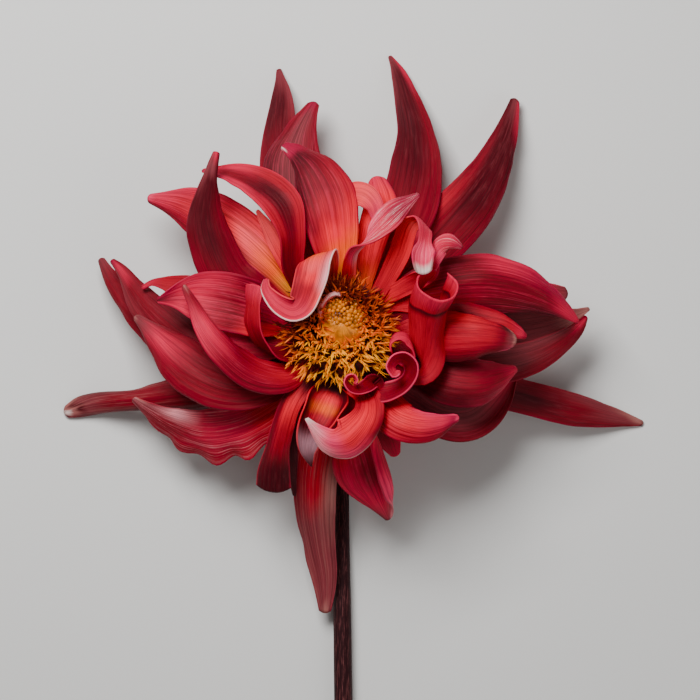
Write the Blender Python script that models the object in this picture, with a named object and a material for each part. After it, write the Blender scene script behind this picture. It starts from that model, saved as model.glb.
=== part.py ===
"""A cut dahlia lying face up: its bloom rests on three petal tips and on the low bend of its stem.

Metres, +Z up. The bloom opens towards +Z and the stem runs along -Y to its cut end. The origin is the flat
spot under the bend of the stem, where the flower touches the table. Sizes below are in millimetres, measured
from the middle of the flower's disc (x, y) and from the table (z); MM turns them into metres.
"""

import math
import random

import bmesh
import bpy
from mathutils import Matrix, Vector
from mathutils.bvhtree import BVHTree

MM = 0.001
BLOOM = Vector((0.0, 20.0, 0.0))  # middle of the disc, from the resting spot

# The stem: round, bent sharply below the bloom, lying on the table. (x, y, z, radius) from the bloom down.
STEM_PATH = [(0, 0.4, 18.7, 3.4), (0, 0, 15.5, 2.7), (0, -2.6, 9.6, 2.2), (0, -9, 4.7, 2.0),
             (0, -20, 1.6, 1.95), (0.2, -34, 1.9, 1.9), (0.3, -52, 2.4, 1.95), (0.4, -74, 2.9, 2.3),
             (0.8, -104, 2.9, 2.4), (1.4, -135, 2.45, 2.45)]
STEM_SIDES = 18
STEM_RINGS = 26

# The green cup behind the petals, (radius, height), and its bent-back bracts in the same terms.
CALYX_PROFILE = [(0.0, 19.0), (4.2, 19.0), (7.6, 20.4), (9.8, 22.6), (10.2, 24.0), (0.0, 24.0)]
BRACTS = 8
BRACT_PATH = [(6.5, 21.2), (9.6, 20.9), (13.0, 19.2), (15.2, 15.6), (15.6, 12.0)]
BRACT_WIDTH = [4.0, 5.5, 6.2, 4.2, 1.2]
BRACT_THICKNESS = 0.8

# The collar that the petals grow from.
COLLAR_PROFILE = [(0.0, 24.3), (10.4, 24.3), (12.6, 26.5), (13.0, 30.0), (12.4, 33.2), (11.0, 34.6),
                  (0.0, 34.6)]
COLLAR_SIDES = 24
PETAL_THICKNESS = 0.7
PETAL_ROWS = 7
PETAL_COLUMNS = 4
ROOT_DEPTH = 0.72  # a petal's buried root lies this share of the way out to its first path point
ROOT_DROP = 1.2
PATH_STEPS = 240
TIP_BOW = 0.5  # how far a blunt tip is rounded back at its corners, as a share of its half width

# The disc: a core with a ring of open florets, and the golden dome of closed buds in its middle.
CORE_PROFILE = [(0.0, 34.9), (10.0, 34.9), (11.2, 36.4), (11.2, 38.4), (9.6, 40.0), (0.0, 40.2)]
CORE_SIDES = 24
FLORETS = 140
FLORET_RADIUS = 0.55
FLORET_LENGTHS = (3.6, 6.4)
SHORTEST_FLORET = 2.0
FLORET_RING = 10.9  # radius of the outermost roots; the innermost stand at INNER_SHARE of it
INNER_SHARE = 0.55
SHOULDER_SHARE = 0.86  # beyond this share of the ring the core falls away to its side
UPPER_ROOT = 39.6
SIDE_ROOT = 37.2
INNER_LEAN = 18  # degrees from upright, and how much more the outermost lean
OUTER_LEAN = 62
LEAN_VARIES = 12
FLORET_ROOM = 0.5  # a floret that comes nearer than this to a petal or the dome is shortened or left out
DOME_CENTRE = (0.4, 2.6)
DOME_RADIUS = 6.2
DOME_BASE = 40.5
DOME_HEIGHT = 4.2
BUDS = 40
BUD_RADIUS = 0.85
BUD_SPREAD = 0.95  # how near the dome's rim the outermost buds sit
GOLDEN_ANGLE = math.radians(137.508)
PETALOID_THICKNESS = 1.1


def petal(name, path, width, cup=(0,), roll=(0,), fold=(0,), right_cup=None, curl=1.0, frill=None,
          level=False, bow=TIP_BOW, rows=PETAL_ROWS, columns=PETAL_COLUMNS):
    """One petal. path: midrib points in mm. width: breadth of the flat blade. cup: how far each half turns
    from midrib to edge, in degrees, positive towards the inner face; right_cup where the halves differ.
    roll: turn of the blade about its midrib, positive where the inner face tilts to the right. level: roll
    is then measured from the inner face looking up, not from the root. fold: keel angle at the midrib.
    curl: over 1 keeps the turning near the edge. frill: (depth, waves, phase, side) of a wavy edge.
    Each list runs from root to tip."""
    return dict(name=name, path=path, width=width, cup=cup, right_cup=right_cup or cup, roll=roll, fold=fold,
                curl=curl, frill=frill, level=level, bow=bow, rows=rows, columns=columns)


PETALS = [
    # Back petals of the upper side.
    petal("tall",
          [(9, 11, 28), (13, 21, 27), (17.5, 32, 22.5), (19.6, 42, 16.5), (19.7, 51, 10.5), (17.6, 60, 6),
           (15.2, 67, 2.6), (12.7, 71.8, 0.38)],
          [5, 11, 14.5, 14, 10.5, 7.5, 4.5, 1.0], cup=[20, 10, -20, -25, -20, 0]),
    petal("notched",
          [(12.5, 8.5, 27), (19, 17, 24.5), (27, 26, 20), (34.4, 34.6, 16), (39.8, 43.8, 11),
           (43.4, 53, 6.5), (45.4, 60.6, 3)],
          [5, 12, 15, 14, 10, 6, 2.6], cup=[20, 10, -20, -25, -10]),
    petal("back_left",
          [(-6, 12, 27), (-10.5, 25, 24), (-14.5, 39, 18), (-15.8, 51, 11.5), (-15.3, 61, 5.5),
           (-16, 68.4, 0.5)],
          [5, 11, 12.5, 9.5, 5.5, 1.0], cup=[20, 0, -20, -25, -10]),
    petal("striped",
          [(-3.5, 13.5, 28), (-8, 25, 27), (-12, 36, 23), (-12.4, 45, 18.5), (-10.2, 53, 13.5),
           (-6.8, 59.6, 9.5)],
          [5, 12, 15.5, 15.5, 9, 3.4], cup=[20, 0, -20, -25, -15]),
    petal("big_top",
          [(-0.5, 13, 33), (-1.2, 20, 37.5), (-2.2, 28, 39.5), (-3.8, 35, 39), (-7, 41.3, 36.5),
           (-11, 45.4, 33.5), (-14.9, 47.4, 31.5)],
          [5, 10.5, 14, 15.5, 12.5, 6.5, 2.4], cup=[20, 10, -25, -30, -35, -40, 30]),
    petal("swag",
          [(-3, 12.5, 35), (-3.8, 17.3, 40), (-5, 19.8, 43.5), (-6.3, 17.6, 46.5), (-7.4, 12.8, 47.5),
           (-9.4, 7.2, 47.5), (-12.2, 5.3, 47.5), (-15.9, 7.3, 47), (-18.6, 10.6, 46), (-18.7, 13.4, 45.5)],
          [4, 7, 9, 9.5, 9, 8, 7, 5.5, 3.2, 1.0], cup=[10, 20, 20, 10, -10, -30, -50, -60, -50, -20],
          right_cup=[10, 20, 20, -20, -40, -50, -50, -50, -50, -20],
          roll=[0, 0, 0, -20, -40, -45, -40, -35, -30, -30], rows=14, columns=4),
    # Left side.
    petal("dark_left",
          [(-12, 4, 30), (-20, 8, 33), (-28, 13.5, 35), (-32, 21, 36), (-34, 29, 37), (-33.2, 38, 38),
           (-31.6, 45.8, 38)],
          [5, 10, 12.5, 12.5, 10.5, 5.5, 1.6], cup=[10, -10, -30, -45, -60, -60]),
    petal("glow_left",
          [(-10.5, 8.5, 28), (-17, 16.5, 29), (-25, 24, 27.5), (-33.5, 29.5, 25), (-41.5, 33.2, 21),
           (-49.6, 34.6, 16)],
          [5, 10.5, 13.5, 14, 10.5, 2.4], cup=[20, 20, -20, -30, -40]),
    petal("sliver",
          [(-9.5, 10, 30), (-14.5, 19, 33), (-18.3, 26, 33), (-21.2, 31, 31)],
          [4, 4.5, 3.5, 1.0], cup=[20, 20], rows=5, columns=2),
    petal("sweep_left",
          [(-9.5, 10, 32), (-12.2, 17, 37), (-12.6, 25, 40), (-14.8, 32, 40.5), (-20, 36.8, 38),
           (-27, 39.9, 33.5), (-35.4, 41, 28.5)],
          [4.5, 6, 7.5, 10.5, 10, 7, 1.5], cup=[30, 30, 30, 35, 40]),
    petal("far_left_back",
          [(-13, -6, 26), (-28, -7, 23), (-42, -2.5, 18.5), (-52, 5, 14), (-58.7, 12.5, 9.5),
           (-62.6, 19, 6)],
          [5, 10, 11, 9, 5.5, 2.4], cup=[20, -10, -30, -50], rows=7, columns=3),
    petal("far_left",
          [(-12.5, -8.5, 28.5), (-26, -9.5, 28.5), (-38, -3.5, 26), (-47, 3.3, 22), (-52.7, 9.6, 18),
           (-56.7, 15.7, 15), (-59.2, 18.5, 14)],
          [5, 10, 11.5, 11, 7.5, 3.5, 1.0], cup=[20, -10, -30, -40, -50]),
    petal("broad_left",
          [(-11, -9.5, 31), (-18, -13, 33.5), (-27, -13.8, 34.5), (-35, -11, 33), (-42, -6, 30),
           (-48, -0.2, 26.5), (-52.8, 4, 24)],
          [5, 10, 13, 14.5, 13.5, 7.5, 2.4], cup=[10, -10, -35, -45, -50, -60]),
    petal("ridge_left",
          [(-9.6, -10, 33.8), (-15, -11.4, 38.2), (-22, -9.4, 41.5), (-28.5, -4.3, 43.5),
           (-33.5, 1.5, 43.5), (-37, 7.5, 41.5), (-39.8, 11.8, 40.5)],
          [4.5, 9, 11.5, 10.5, 8.4, 4.6, 1.6], cup=[10, -40, -60, -65, -60]),
    petal("trough_left",
          [(-12.5, 1.5, 31.5), (-19, 4.5, 34.5), (-27, 7, 36), (-35, 8.4, 35.5), (-41, 8.6, 34.5),
           (-46.8, 7.8, 33.5)],
          [5, 13, 15.5, 14.5, 9, 1.6], cup=[20, 20, 25, 30], fold=[0, 5, 12]),
    petal("hook_left",
          [(-12.5, 3, 29), (-25, 8, 28.5), (-36, 10.8, 26.5), (-43, 12, 24), (-48, 12.6, 21.5),
           (-51, 11.2, 20)],
          [4.5, 7, 6.5, 5, 1.8, 1.0], cup=[20, 0], rows=8, columns=2),
    petal("fence_left",
          [(-11, -5, 34), (-16.2, -5.4, 37.5), (-20.4, -3.2, 40), (-22.6, 1.4, 41.5), (-22.6, 7, 42),
           (-22, 12, 42.5)],
          [4.5, 6.5, 7.5, 7.5, 7, 6.5], cup=[10, 20], level=True, roll=[0, 60, 105, 115, 120, 140], bow=0.2,
          rows=9, columns=2),
    # Lower side.
    petal("tube_left",
          [(-11.5, -10, 26), (-26, -14, 21.5), (-42, -16.4, 15.5), (-54, -17.8, 10), (-64, -18.8, 4.4),
           (-72, -21, 0.5)],
          [5, 11, 12.5, 12, 10.5, 3], cup=[10, -30, -80, -120, -120, -20], rows=7, columns=6),
    petal("wavy",
          [(-8.5, -13, 28), (-16, -20, 27), (-25, -25.2, 24), (-35, -26.8, 19), (-44, -23.8, 16),
           (-50, -20, 14.5), (-53.6, -17.2, 14)],
          [5, 11, 13.5, 14, 9.5, 4.5, 1.6], cup=[10, 0, -25, -25], frill=(1.0, 7, 0.1, -1), rows=14,
          columns=3),
    petal("ribbon",
          [(-7.4, -11.3, 34), (-12, -17.2, 36.8), (-14.6, -24, 35.2), (-16.3, -30.5, 31.5),
           (-17.2, -36, 27.5), (-17.3, -41, 24)],
          [4.5, 5.5, 6, 6.5, 8.5, 9.2], cup=[10, -30, -30, -20], bow=0.25),
    petal("ribbon_back",
          [(-5.5, -12, 30), (-10.5, -19, 30), (-12.8, -27, 27), (-12.8, -35, 22), (-11.9, -42.4, 16.5)],
          [4, 5, 4, 3.5, 1.0], cup=[0, -20], rows=6, columns=2),
    petal("loop",
          [(2, -13, 33), (6.6, -16.4, 37.5), (7.3, -20.2, 42.5), (5.3, -24.4, 45.3), (1.5, -28, 46.3),
           (-3.5, -27.8, 46.3), (-8.9, -22.1, 45.5)],
          [5, 6.5, 7.8, 10, 12.4, 8.4, 1.2], cup=[20, 10, -20, -50, -60, -50],
          right_cup=[20, 0, -20, -30, -30], roll=[0, -10, -40, -60, -65, -60], rows=10, columns=4),
    petal("bowl",
          [(-1, -13, 33), (-3, -17.5, 35), (-5, -22, 36.5), (-7.4, -26.2, 37), (-8.2, -30.2, 35),
           (-7.3, -34.2, 32)],
          [5, 12, 13, 8.5, 5, 1.0], cup=[20, 70, 85, 60, 20], rows=8, columns=4),
    petal("longest",
          [(-2, -13.5, 27), (-4, -24, 25), (-6.3, -35, 20.5), (-6.8, -45, 16), (-5.7, -55, 11.5),
           (-4.3, -64, 8), (-4, -73, 5.6)],
          [5, 10.5, 11.5, 11, 9, 6.8, 3.2], cup=[10, -10, -30, -30, 40]),
    petal("rolled_edge",
          [(1.5, -13.5, 28), (3.5, -23, 28), (6.6, -31, 26), (8.8, -38, 23), (10.6, -43.5, 19.5),
           (12.4, -48.5, 17)],
          [5, 11, 18.5, 19, 11, 1.8], cup=[10, 80, 250, 260, 200, 40], right_cup=[10, -10, -30, -30],
          curl=1.7, rows=8, columns=8),
    petal("scrap",
          [(6, -13, 27), (10, -22, 25), (12.6, -28, 22.5), (14.2, -32, 20)],
          [4.5, 6.5, 6, 2.5], cup=[10, -10], rows=5, columns=2),
    petal("horn",
          [(6.5, -13, 32.5), (10.5, -18, 36), (14.7, -21.6, 40.5), (20, -23.2, 41), (25.4, -22.9, 40),
           (30.1, -21.7, 38.5)],
          [5, 9.8, 11.4, 11.4, 9, 3.4], cup=[10, -40, -60, -70, -80], rows=8, columns=4),
    petal("trough_right",
          [(10, -11.5, 28), (18, -17.3, 26), (25.5, -22, 24), (33.5, -22.2, 22), (39.9, -16.8, 20),
           (45.3, -9.8, 18.5)],
          [5, 9, 10.5, 11.5, 9.5, 1.8], cup=[20, 25, 30, 30], fold=[0, 5, 10]),
    # Right side.
    petal("far_right",
          [(12.5, -7.5, 26), (25, -11, 23.5), (38, -14.4, 18.5), (50, -17.5, 13), (61, -20.3, 8),
           (70.5, -22.2, 3.6), (78.7, -23.8, 0.42)],
          [5, 9, 9, 9, 8.8, 6, 1.4], cup=[20, -10, -25, -30]),
    petal("low_right",
          [(13, -4.5, 28), (26, -7.6, 27), (39, -8.6, 24), (48.5, -6.9, 21), (55.5, -3.6, 18),
           (60.5, 0.3, 15.5), (63.4, 4, 14)],
          [5, 10, 10, 8.8, 7, 4.4, 1.2], cup=[20, 0, -20, -20]),
    petal("shade_right",
          [(14, 0, 27.5), (28, 0, 26), (42, 0.2, 21), (52, 1.8, 17.5), (59, 4, 16), (64.2, 5.9, 15)],
          [5, 9, 10, 8, 4.6, 0.9], cup=[20, 10], rows=6, columns=2),
    petal("flap_right",
          [(13.5, 5, 28), (30, 8, 27), (44, 9.2, 24), (53, 9.8, 21), (58.4, 9.8, 19)],
          [5, 10, 8, 5.8, 3.4], cup=[20, 0], rows=5, columns=2),
    petal("dome_right",
          [(12.5, 7.5, 31.5), (20, 10, 35), (29, 11.8, 37), (38, 12.2, 36.5), (46.5, 10.6, 33.5),
           (54, 7.4, 29.5), (61, 2.4, 25)],
          [5, 12, 14.5, 15.5, 13.8, 8.4, 1.4], cup=[10, -20, -40, -45, -50]),
    petal("red_right",
          [(13.5, -1, 31), (20, -1.1, 34.3), (27, -1.2, 40), (34, -1.2, 42), (40, -1.6, 40.8),
           (44.7, -2.4, 38.6)],
          [5, 12, 15, 14, 10.6, 6.2], cup=[10, -40, -60, -65, -70], bow=0.7, rows=8, columns=4),
    petal("broad_right",
          [(13, -6.5, 29.5), (21, -9.5, 31), (28, -12, 34.5), (35.5, -12.6, 34), (41, -11.2, 31),
           (45, -9.5, 28.5)],
          [5, 11, 14, 13.5, 9, 2.0], cup=[10, -20, -40, -45]),
    petal("funnel",
          [(13, -6, 33), (17.4, -9.2, 34.4), (20.2, -9.6, 37.1), (21.1, -5.7, 40.6), (21.6, -0.4, 44.5),
           (22.2, 4.4, 48), (23.4, 8.2, 52)],
          [4.5, 7.5, 10.5, 14, 19, 25, 30], cup=[10, 40, 70, 95, 125, 150, 165], level=True,
          roll=[0, 60, 160, 180, 180], bow=0, rows=10, columns=8),
    # Petals hidden under the others.
    petal("under_top",
          [(-1, 14, 28), (-2, 24, 23.5), (-4, 33, 18)],
          [5, 9, 6], cup=[10, -20], rows=4, columns=2),
    petal("under_left",
          [(-12, 7, 26), (-22, 13, 22), (-31, 19, 17)],
          [5, 11, 5], cup=[10, -20], rows=4, columns=2),
    petal("under_broad_left",
          [(-11, -10, 28), (-22, -17, 25), (-34, -19, 19.5)],
          [5, 8, 4], cup=[10, -20], rows=4, columns=2),
    petal("nest_left",
          [(-11.5, -1.5, 31.5), (-18, -2.2, 32.5), (-25, -2.2, 34), (-31, -1, 34.5)],
          [5, 10, 10.5, 6], cup=[10, 0], rows=5, columns=2),
    petal("under_loop",
          [(1.5, -13.5, 31), (0.5, -21, 31.5), (1.5, -28, 29)],
          [5, 9.5, 7], cup=[10, 30], rows=4, columns=2),
    petal("under_notched",
          [(10.5, 11.5, 29), (16.5, 20, 28), (22, 27, 25)],
          [5, 10, 5], cup=[10, 0], rows=4, columns=2),
    petal("under_red",
          [(13.5, 2.5, 30.5), (22, 2, 34), (31, 1.7, 36.5), (40, 0.9, 37.8), (44.5, -0.2, 37),
           (47.3, -1.4, 36)],
          [5, 10, 12, 9, 4.8, 1.2], cup=[10, -20, -45, -55], rows=6, columns=4),
    petal("upper_curl",
          [(13, -4.5, 34), (16.4, -7.2, 37), (18.1, -6.2, 39.8), (18.2, -3.7, 41.4), (16.5, -1.6, 42.6),
           (14.3, -1.5, 43.2), (12.8, -3.3, 43.4), (13.2, -5.6, 43.5)],
          [4, 5, 5.6, 5.6, 5.2, 4.8, 4, 2.4], level=True, roll=[0, -60, -70, -90, -112, -112, -95, -80],
          rows=14, columns=2),
    petal("lower_curl",
          [(8.8, -12.8, 34), (9.6, -15.2, 37.6), (12.4, -15.3, 39.4), (15.6, -13.8, 40.6),
           (17.7, -11.2, 41.4), (17.9, -8.4, 42.2), (16, -6.6, 43), (13.7, -7, 43.6), (12.6, -9.1, 44),
           (13.8, -11, 44.5), (15.3, -10.2, 44.6)],
          [4, 5.5, 6.6, 6.5, 6, 5.6, 5.2, 4.8, 4.4, 3.6, 2.2], level=True, roll=[0, -50, -55, -60, -65],
          rows=15, columns=2),
    petal("small_curl",
          [(8.2, -12.6, 34), (8, -12.8, 37.5), (6.6, -13.8, 40.4), (4.5, -14.7, 41.6), (2.6, -14.5, 42.2),
           (1.4, -13, 42.6), (1.9, -11.5, 42.9), (3.3, -11.2, 43.1), (4.1, -12.4, 43.4),
           (3.5, -13.5, 43.5)],
          [4, 4, 3.8, 3.4, 3.1, 2.9, 2.6, 2.3, 2, 1.5], level=True, roll=[0, 60, 65], rows=15, columns=2),
    # Curled petals of the upper right.
    petal("arch",
          [(3, 14, 30), (0.5, 26, 33), (0.6, 32.5, 35), (3.2, 35, 37), (6.4, 34.4, 38.5), (8.6, 31.6, 38.5),
           (9, 28.2, 37)],
          [4.5, 5, 5, 6, 6.2, 5, 2.2], level=True, cup=[0, -20], rows=10, columns=3),
    petal("tongue",
          [(6, 13, 30), (8, 24, 33.5), (10.4, 32.5, 35), (8.8, 39.6, 34.5)],
          [4.5, 8, 8.6, 4.6], cup=[0, -20, -30], rows=6, columns=3),
    petal("twist",
          [(2, 13.5, 34.5), (2.8, 19.7, 40), (6.6, 23.2, 43.5), (10.6, 27.2, 44.5), (14.4, 31, 43.5),
           (20, 34.8, 42)],
          [3.5, 4, 6, 7, 6, 1.0], level=True, roll=[0, 60, 130, 170, 180], rows=11, columns=2),
    petal("bulb",
          [(10, 10.5, 34), (14.5, 19, 36.5), (17, 26.3, 39.5), (19.4, 28.4, 43), (21.4, 26.3, 45.5),
           (21.2, 22.4, 46.5), (20.7, 18.3, 48), (21, 14.4, 47.5)],
          [4, 5.5, 5, 4.5, 5, 3.8, 7.5, 5.5], level=True, roll=[0, 0, 20, 90, 150, 180, 180],
          cup=[0, 20, 20, 20, 10, -20, -70, -60], rows=13, columns=3),
    petal("claw",
          [(12, 9, 33.5), (18.5, 12.5, 37), (22.2, 15.4, 40), (22.8, 18.8, 43), (24.8, 22, 45),
           (27.8, 22.6, 45.5), (30.9, 21.2, 44.5)],
          [4, 5, 6, 6.5, 7, 6, 1.4], level=True, roll=[0, 20, 120, 170, 180], cup=[0, 30, 70, 80, 60],
          rows=12, columns=4),
]

PETALOID = petal("petaloid",
                 [(-4.6, 3.4, 43), (-4.9, 6, 43.8), (-3.3, 8.4, 44), (-1.4, 9.5, 43.6), (0, 9.3, 43)],
                 [2.2, 2.4, 2.2, 1.8, 0.9], level=True, roll=[60, 90, 100], rows=7, columns=2)


def smooth_between(points, at):
    """A smooth curve through evenly spaced keys or points, read at 0 to 1."""
    last = len(points) - 1
    if last == 0:
        return points[0]
    place = min(max(at, 0.0), 1.0) * last
    i = min(int(place), last - 1)
    f = place - i
    before = points[max(i - 1, 0)]
    start = points[i]
    end = points[i + 1]
    after = points[min(i + 2, last)]
    leave = (end - before) * 0.5
    arrive = (after - start) * 0.5
    return (start * (2 * f**3 - 3 * f**2 + 1) + leave * (f**3 - 2 * f**2 + f)
            + end * (3 * f**2 - 2 * f**3) + arrive * (f**3 - f**2))


def midrib(path, level):
    """Stations along a petal: (share of its length, place in its key lists, point, direction, normal)."""
    points = [Vector(p) for p in path]
    root = Vector((points[0].x * ROOT_DEPTH, points[0].y * ROOT_DEPTH, points[0].z - ROOT_DROP))
    points.insert(0, root)
    fine = [smooth_between(points, i / PATH_STEPS) for i in range(PATH_STEPS + 1)]
    run = [0.0]
    for a, b in zip(fine, fine[1:]):
        run.append(run[-1] + (b - a).length)
    out = Vector((root.x, root.y, 0)).normalized()
    normal = Vector((0, 0, 1)) - out
    stations = []
    for i, point in enumerate(fine):
        ahead = (fine[min(i + 1, PATH_STEPS)] - fine[max(i - 1, 0)]).normalized()
        if level:
            normal = Vector((0, 0, 1))
        normal = (normal - ahead * normal.dot(ahead)).normalized()
        place = (i / PATH_STEPS * (len(points) - 1) - 1) / (len(path) - 1)
        stations.append((run[i] / run[-1], max(place, 0.0), point, ahead, normal.copy()))
    return stations


def station_at(stations, share):
    """The station that lies this share of the way along."""
    return min(stations, key=lambda s: abs(s[0] - share))


def half_section(u, fold, cup, curl):
    """How far sideways and up a point u of a half blade lies (u: 0 at the midrib, 1 at the edge)."""
    steps = 16
    side = 0.0
    up = 0.0
    for i in range(steps):
        v = (i + 0.5) / steps * u
        angle = fold + cup * v**curl
        side += math.cos(angle) * u / steps
        up += math.sin(angle) * u / steps
    return side, up


def blade_point(p, stations, share, s):
    """The place of blade coordinate (share along, s across from -1 left to 1 right)."""
    _, place, point, ahead, normal = station_at(stations, share)
    turn = Matrix.Rotation(math.radians(smooth_between(p["roll"], place)), 3, ahead)
    inner = turn @ normal
    right = ahead.cross(inner)
    half = max(smooth_between(p["width"], place), 0.6) / 2
    cup = math.radians(smooth_between(p["right_cup"] if s > 0 else p["cup"], place))
    fold = math.radians(smooth_between(p["fold"], place))
    u = abs(s)
    side, up = half_section(u, fold, cup, p["curl"])
    point = point - ahead * p["bow"] * half * u**2 * share**6
    if p["frill"] and s * p["frill"][3] > 0:
        depth, waves, phase, _ = p["frill"]
        fade = u**2 * math.sin(math.pi * share) ** 2
        ripple = depth * fade * math.sin(2 * math.pi * (waves * share + phase))
        side += ripple / half
        up += ripple / half
    return point + right * side * half * (1 if s > 0 else -1) + inner * up * half


def petal_blade(p):
    """A petal as a thin sheet of triangles, its inner face up."""
    stations = midrib(p["path"], p["level"])
    bm = bmesh.new()
    bmesh.ops.create_grid(bm, x_segments=p["columns"], y_segments=p["rows"], size=1)
    for v in bm.verts:
        place = blade_point(p, stations, (v.co.y + 1) / 2, v.co.x)
        v.co = (place + BLOOM) * MM
    bmesh.ops.triangulate(bm, faces=bm.faces)
    return bm


def clear_scene():
    """Empties the scene that Blender opens with."""
    for obj in list(bpy.data.objects):
        bpy.data.objects.remove(obj)


def material(name, colour, roughness):
    """A plain material of the node's own."""
    made = bpy.data.materials.new(name)
    made.use_nodes = True
    shader = made.node_tree.nodes["Principled BSDF"]
    shader.inputs["Base Color"].default_value = (*colour, 1.0)
    shader.inputs["Roughness"].default_value = roughness
    shader.inputs["Metallic"].default_value = 0.0
    return made


def add_object(name, bm, into=None):
    """A mesh object of these faces, linked to the scene or to a collection."""
    mesh = bpy.data.meshes.new(name)
    bm.to_mesh(mesh)
    bm.free()
    obj = bpy.data.objects.new(name, mesh)
    (into or bpy.context.scene.collection).objects.link(obj)
    return obj


def applied(obj):
    """The object with its modifiers made part of its mesh."""
    shaped = obj.evaluated_get(bpy.context.evaluated_depsgraph_get())
    mesh = bpy.data.meshes.new_from_object(shaped)
    obj.modifiers.clear()
    obj.data = mesh
    return obj


def thicken(obj, thickness):
    """Gives a sheet its thickness, half on each side."""
    solid = obj.modifiers.new("thickness", "SOLIDIFY")
    solid.thickness = thickness * MM
    solid.offset = 0.0
    return applied(obj)


def lathe(profile, sides):
    """A solid turned about the bloom's axis from (radius, height) points that start and end on the axis."""
    bm = bmesh.new()
    ring = [bm.verts.new(((Vector((r, 0, z)) + BLOOM) * MM)) for r, z in profile]
    edges = [bm.edges.new(pair) for pair in zip(ring, ring[1:])]
    bmesh.ops.spin(bm, geom=ring + edges, cent=BLOOM * MM, axis=(0, 0, 1), angle=2 * math.pi, steps=sides)
    bmesh.ops.remove_doubles(bm, verts=bm.verts, dist=0.01 * MM)
    bmesh.ops.recalc_face_normals(bm, faces=bm.faces)
    return bm


def united(obj, parts):
    """Fuses a collection of solids into obj, then removes them."""
    union = obj.modifiers.new("union", "BOOLEAN")
    union.operation = "UNION"
    union.operand_type = "COLLECTION"
    union.collection = parts
    union.solver = "MANIFOLD"
    applied(obj)
    for part in list(parts.objects):
        bpy.data.objects.remove(part)
    bpy.data.collections.remove(parts)
    return obj


def smooth_sides(obj):
    """Smooth shading on the round faces."""
    for face in obj.data.polygons:
        face.use_smooth = len(face.vertices) <= 4


def dressed(obj, name, colour, roughness):
    """The node with its one material."""
    obj.data.materials.clear()
    obj.data.materials.append(material(name, colour, roughness))
    return obj


def collection(name):
    """A collection in the scene for the solids of one union."""
    made = bpy.data.collections.new(name)
    bpy.context.scene.collection.children.link(made)
    return made


def make_petals():
    """The collar with every petal fused into it."""
    petals = collection("petals")
    for p in PETALS:
        thicken(add_object(p["name"], petal_blade(p), petals), PETAL_THICKNESS)
    collar = add_object("ray_petals", lathe(COLLAR_PROFILE, COLLAR_SIDES))
    return dressed(united(collar, petals), "petal_red", (0.42, 0.012, 0.045), 0.5)


def make_stem():
    """The round stem, its sagging bend cut flat where it rests."""
    keys = [Vector(p) for p in STEM_PATH]
    bm = bmesh.new()
    bmesh.ops.create_cone(bm, segments=STEM_SIDES, radius1=1, radius2=1, depth=1, cap_ends=True)
    shaft = [e for e in bm.edges if abs(e.verts[0].co.z - e.verts[1].co.z) > 0.5]
    bmesh.ops.subdivide_edges(bm, edges=shaft, cuts=STEM_RINGS - 1)
    for v in bm.verts:
        at = 0.5 - v.co.z
        centre = smooth_between(keys, at)
        ahead = (smooth_between(keys, at + 0.01) - smooth_between(keys, at - 0.01)).xyz.normalized()
        up = Vector((1, 0, 0)).cross(ahead).normalized()
        side = ahead.cross(up)
        place = centre.xyz + (side * v.co.x + up * v.co.y) * centre.w
        v.co = (place + BLOOM) * MM
    faces = bm.verts[:] + bm.edges[:] + bm.faces[:]
    cut = bmesh.ops.bisect_plane(bm, geom=faces, plane_co=(0, 0, 0), plane_no=(0, 0, 1), clear_inner=True)
    rim = [e for e in cut["geom_cut"] if isinstance(e, bmesh.types.BMEdge)]
    bmesh.ops.contextual_create(bm, geom=rim)
    bmesh.ops.recalc_face_normals(bm, faces=bm.faces)
    stem = add_object("stem", bm)
    smooth_sides(stem)
    return dressed(stem, "stem_maroon", (0.075, 0.022, 0.028), 0.6)


def bract(turn):
    """One bent-back bract at this turn about the bloom's axis."""
    path = [(r * math.cos(turn), r * math.sin(turn), z) for r, z in BRACT_PATH]
    return petal("bract", path, BRACT_WIDTH, cup=[0, -15, -20], rows=6, columns=2)


def make_calyx():
    """The green cup behind the petals with its bracts."""
    bracts = collection("bracts")
    for i in range(BRACTS):
        blade = add_object("bract", petal_blade(bract(2 * math.pi * (i + 0.5) / BRACTS)), bracts)
        thicken(blade, BRACT_THICKNESS)
    cup = add_object("calyx", lathe(CALYX_PROFILE, COLLAR_SIDES))
    return dressed(united(cup, bracts), "calyx_green", (0.10, 0.16, 0.035), 0.6)


def dome_point(r, turn):
    """A point on the dome of buds."""
    height = DOME_HEIGHT * math.sqrt(max(1 - (r / DOME_RADIUS) ** 2, 0))
    x = DOME_CENTRE[0] + r * math.cos(turn)
    y = DOME_CENTRE[1] + r * math.sin(turn)
    return Vector((x, y, DOME_BASE + height))


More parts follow.
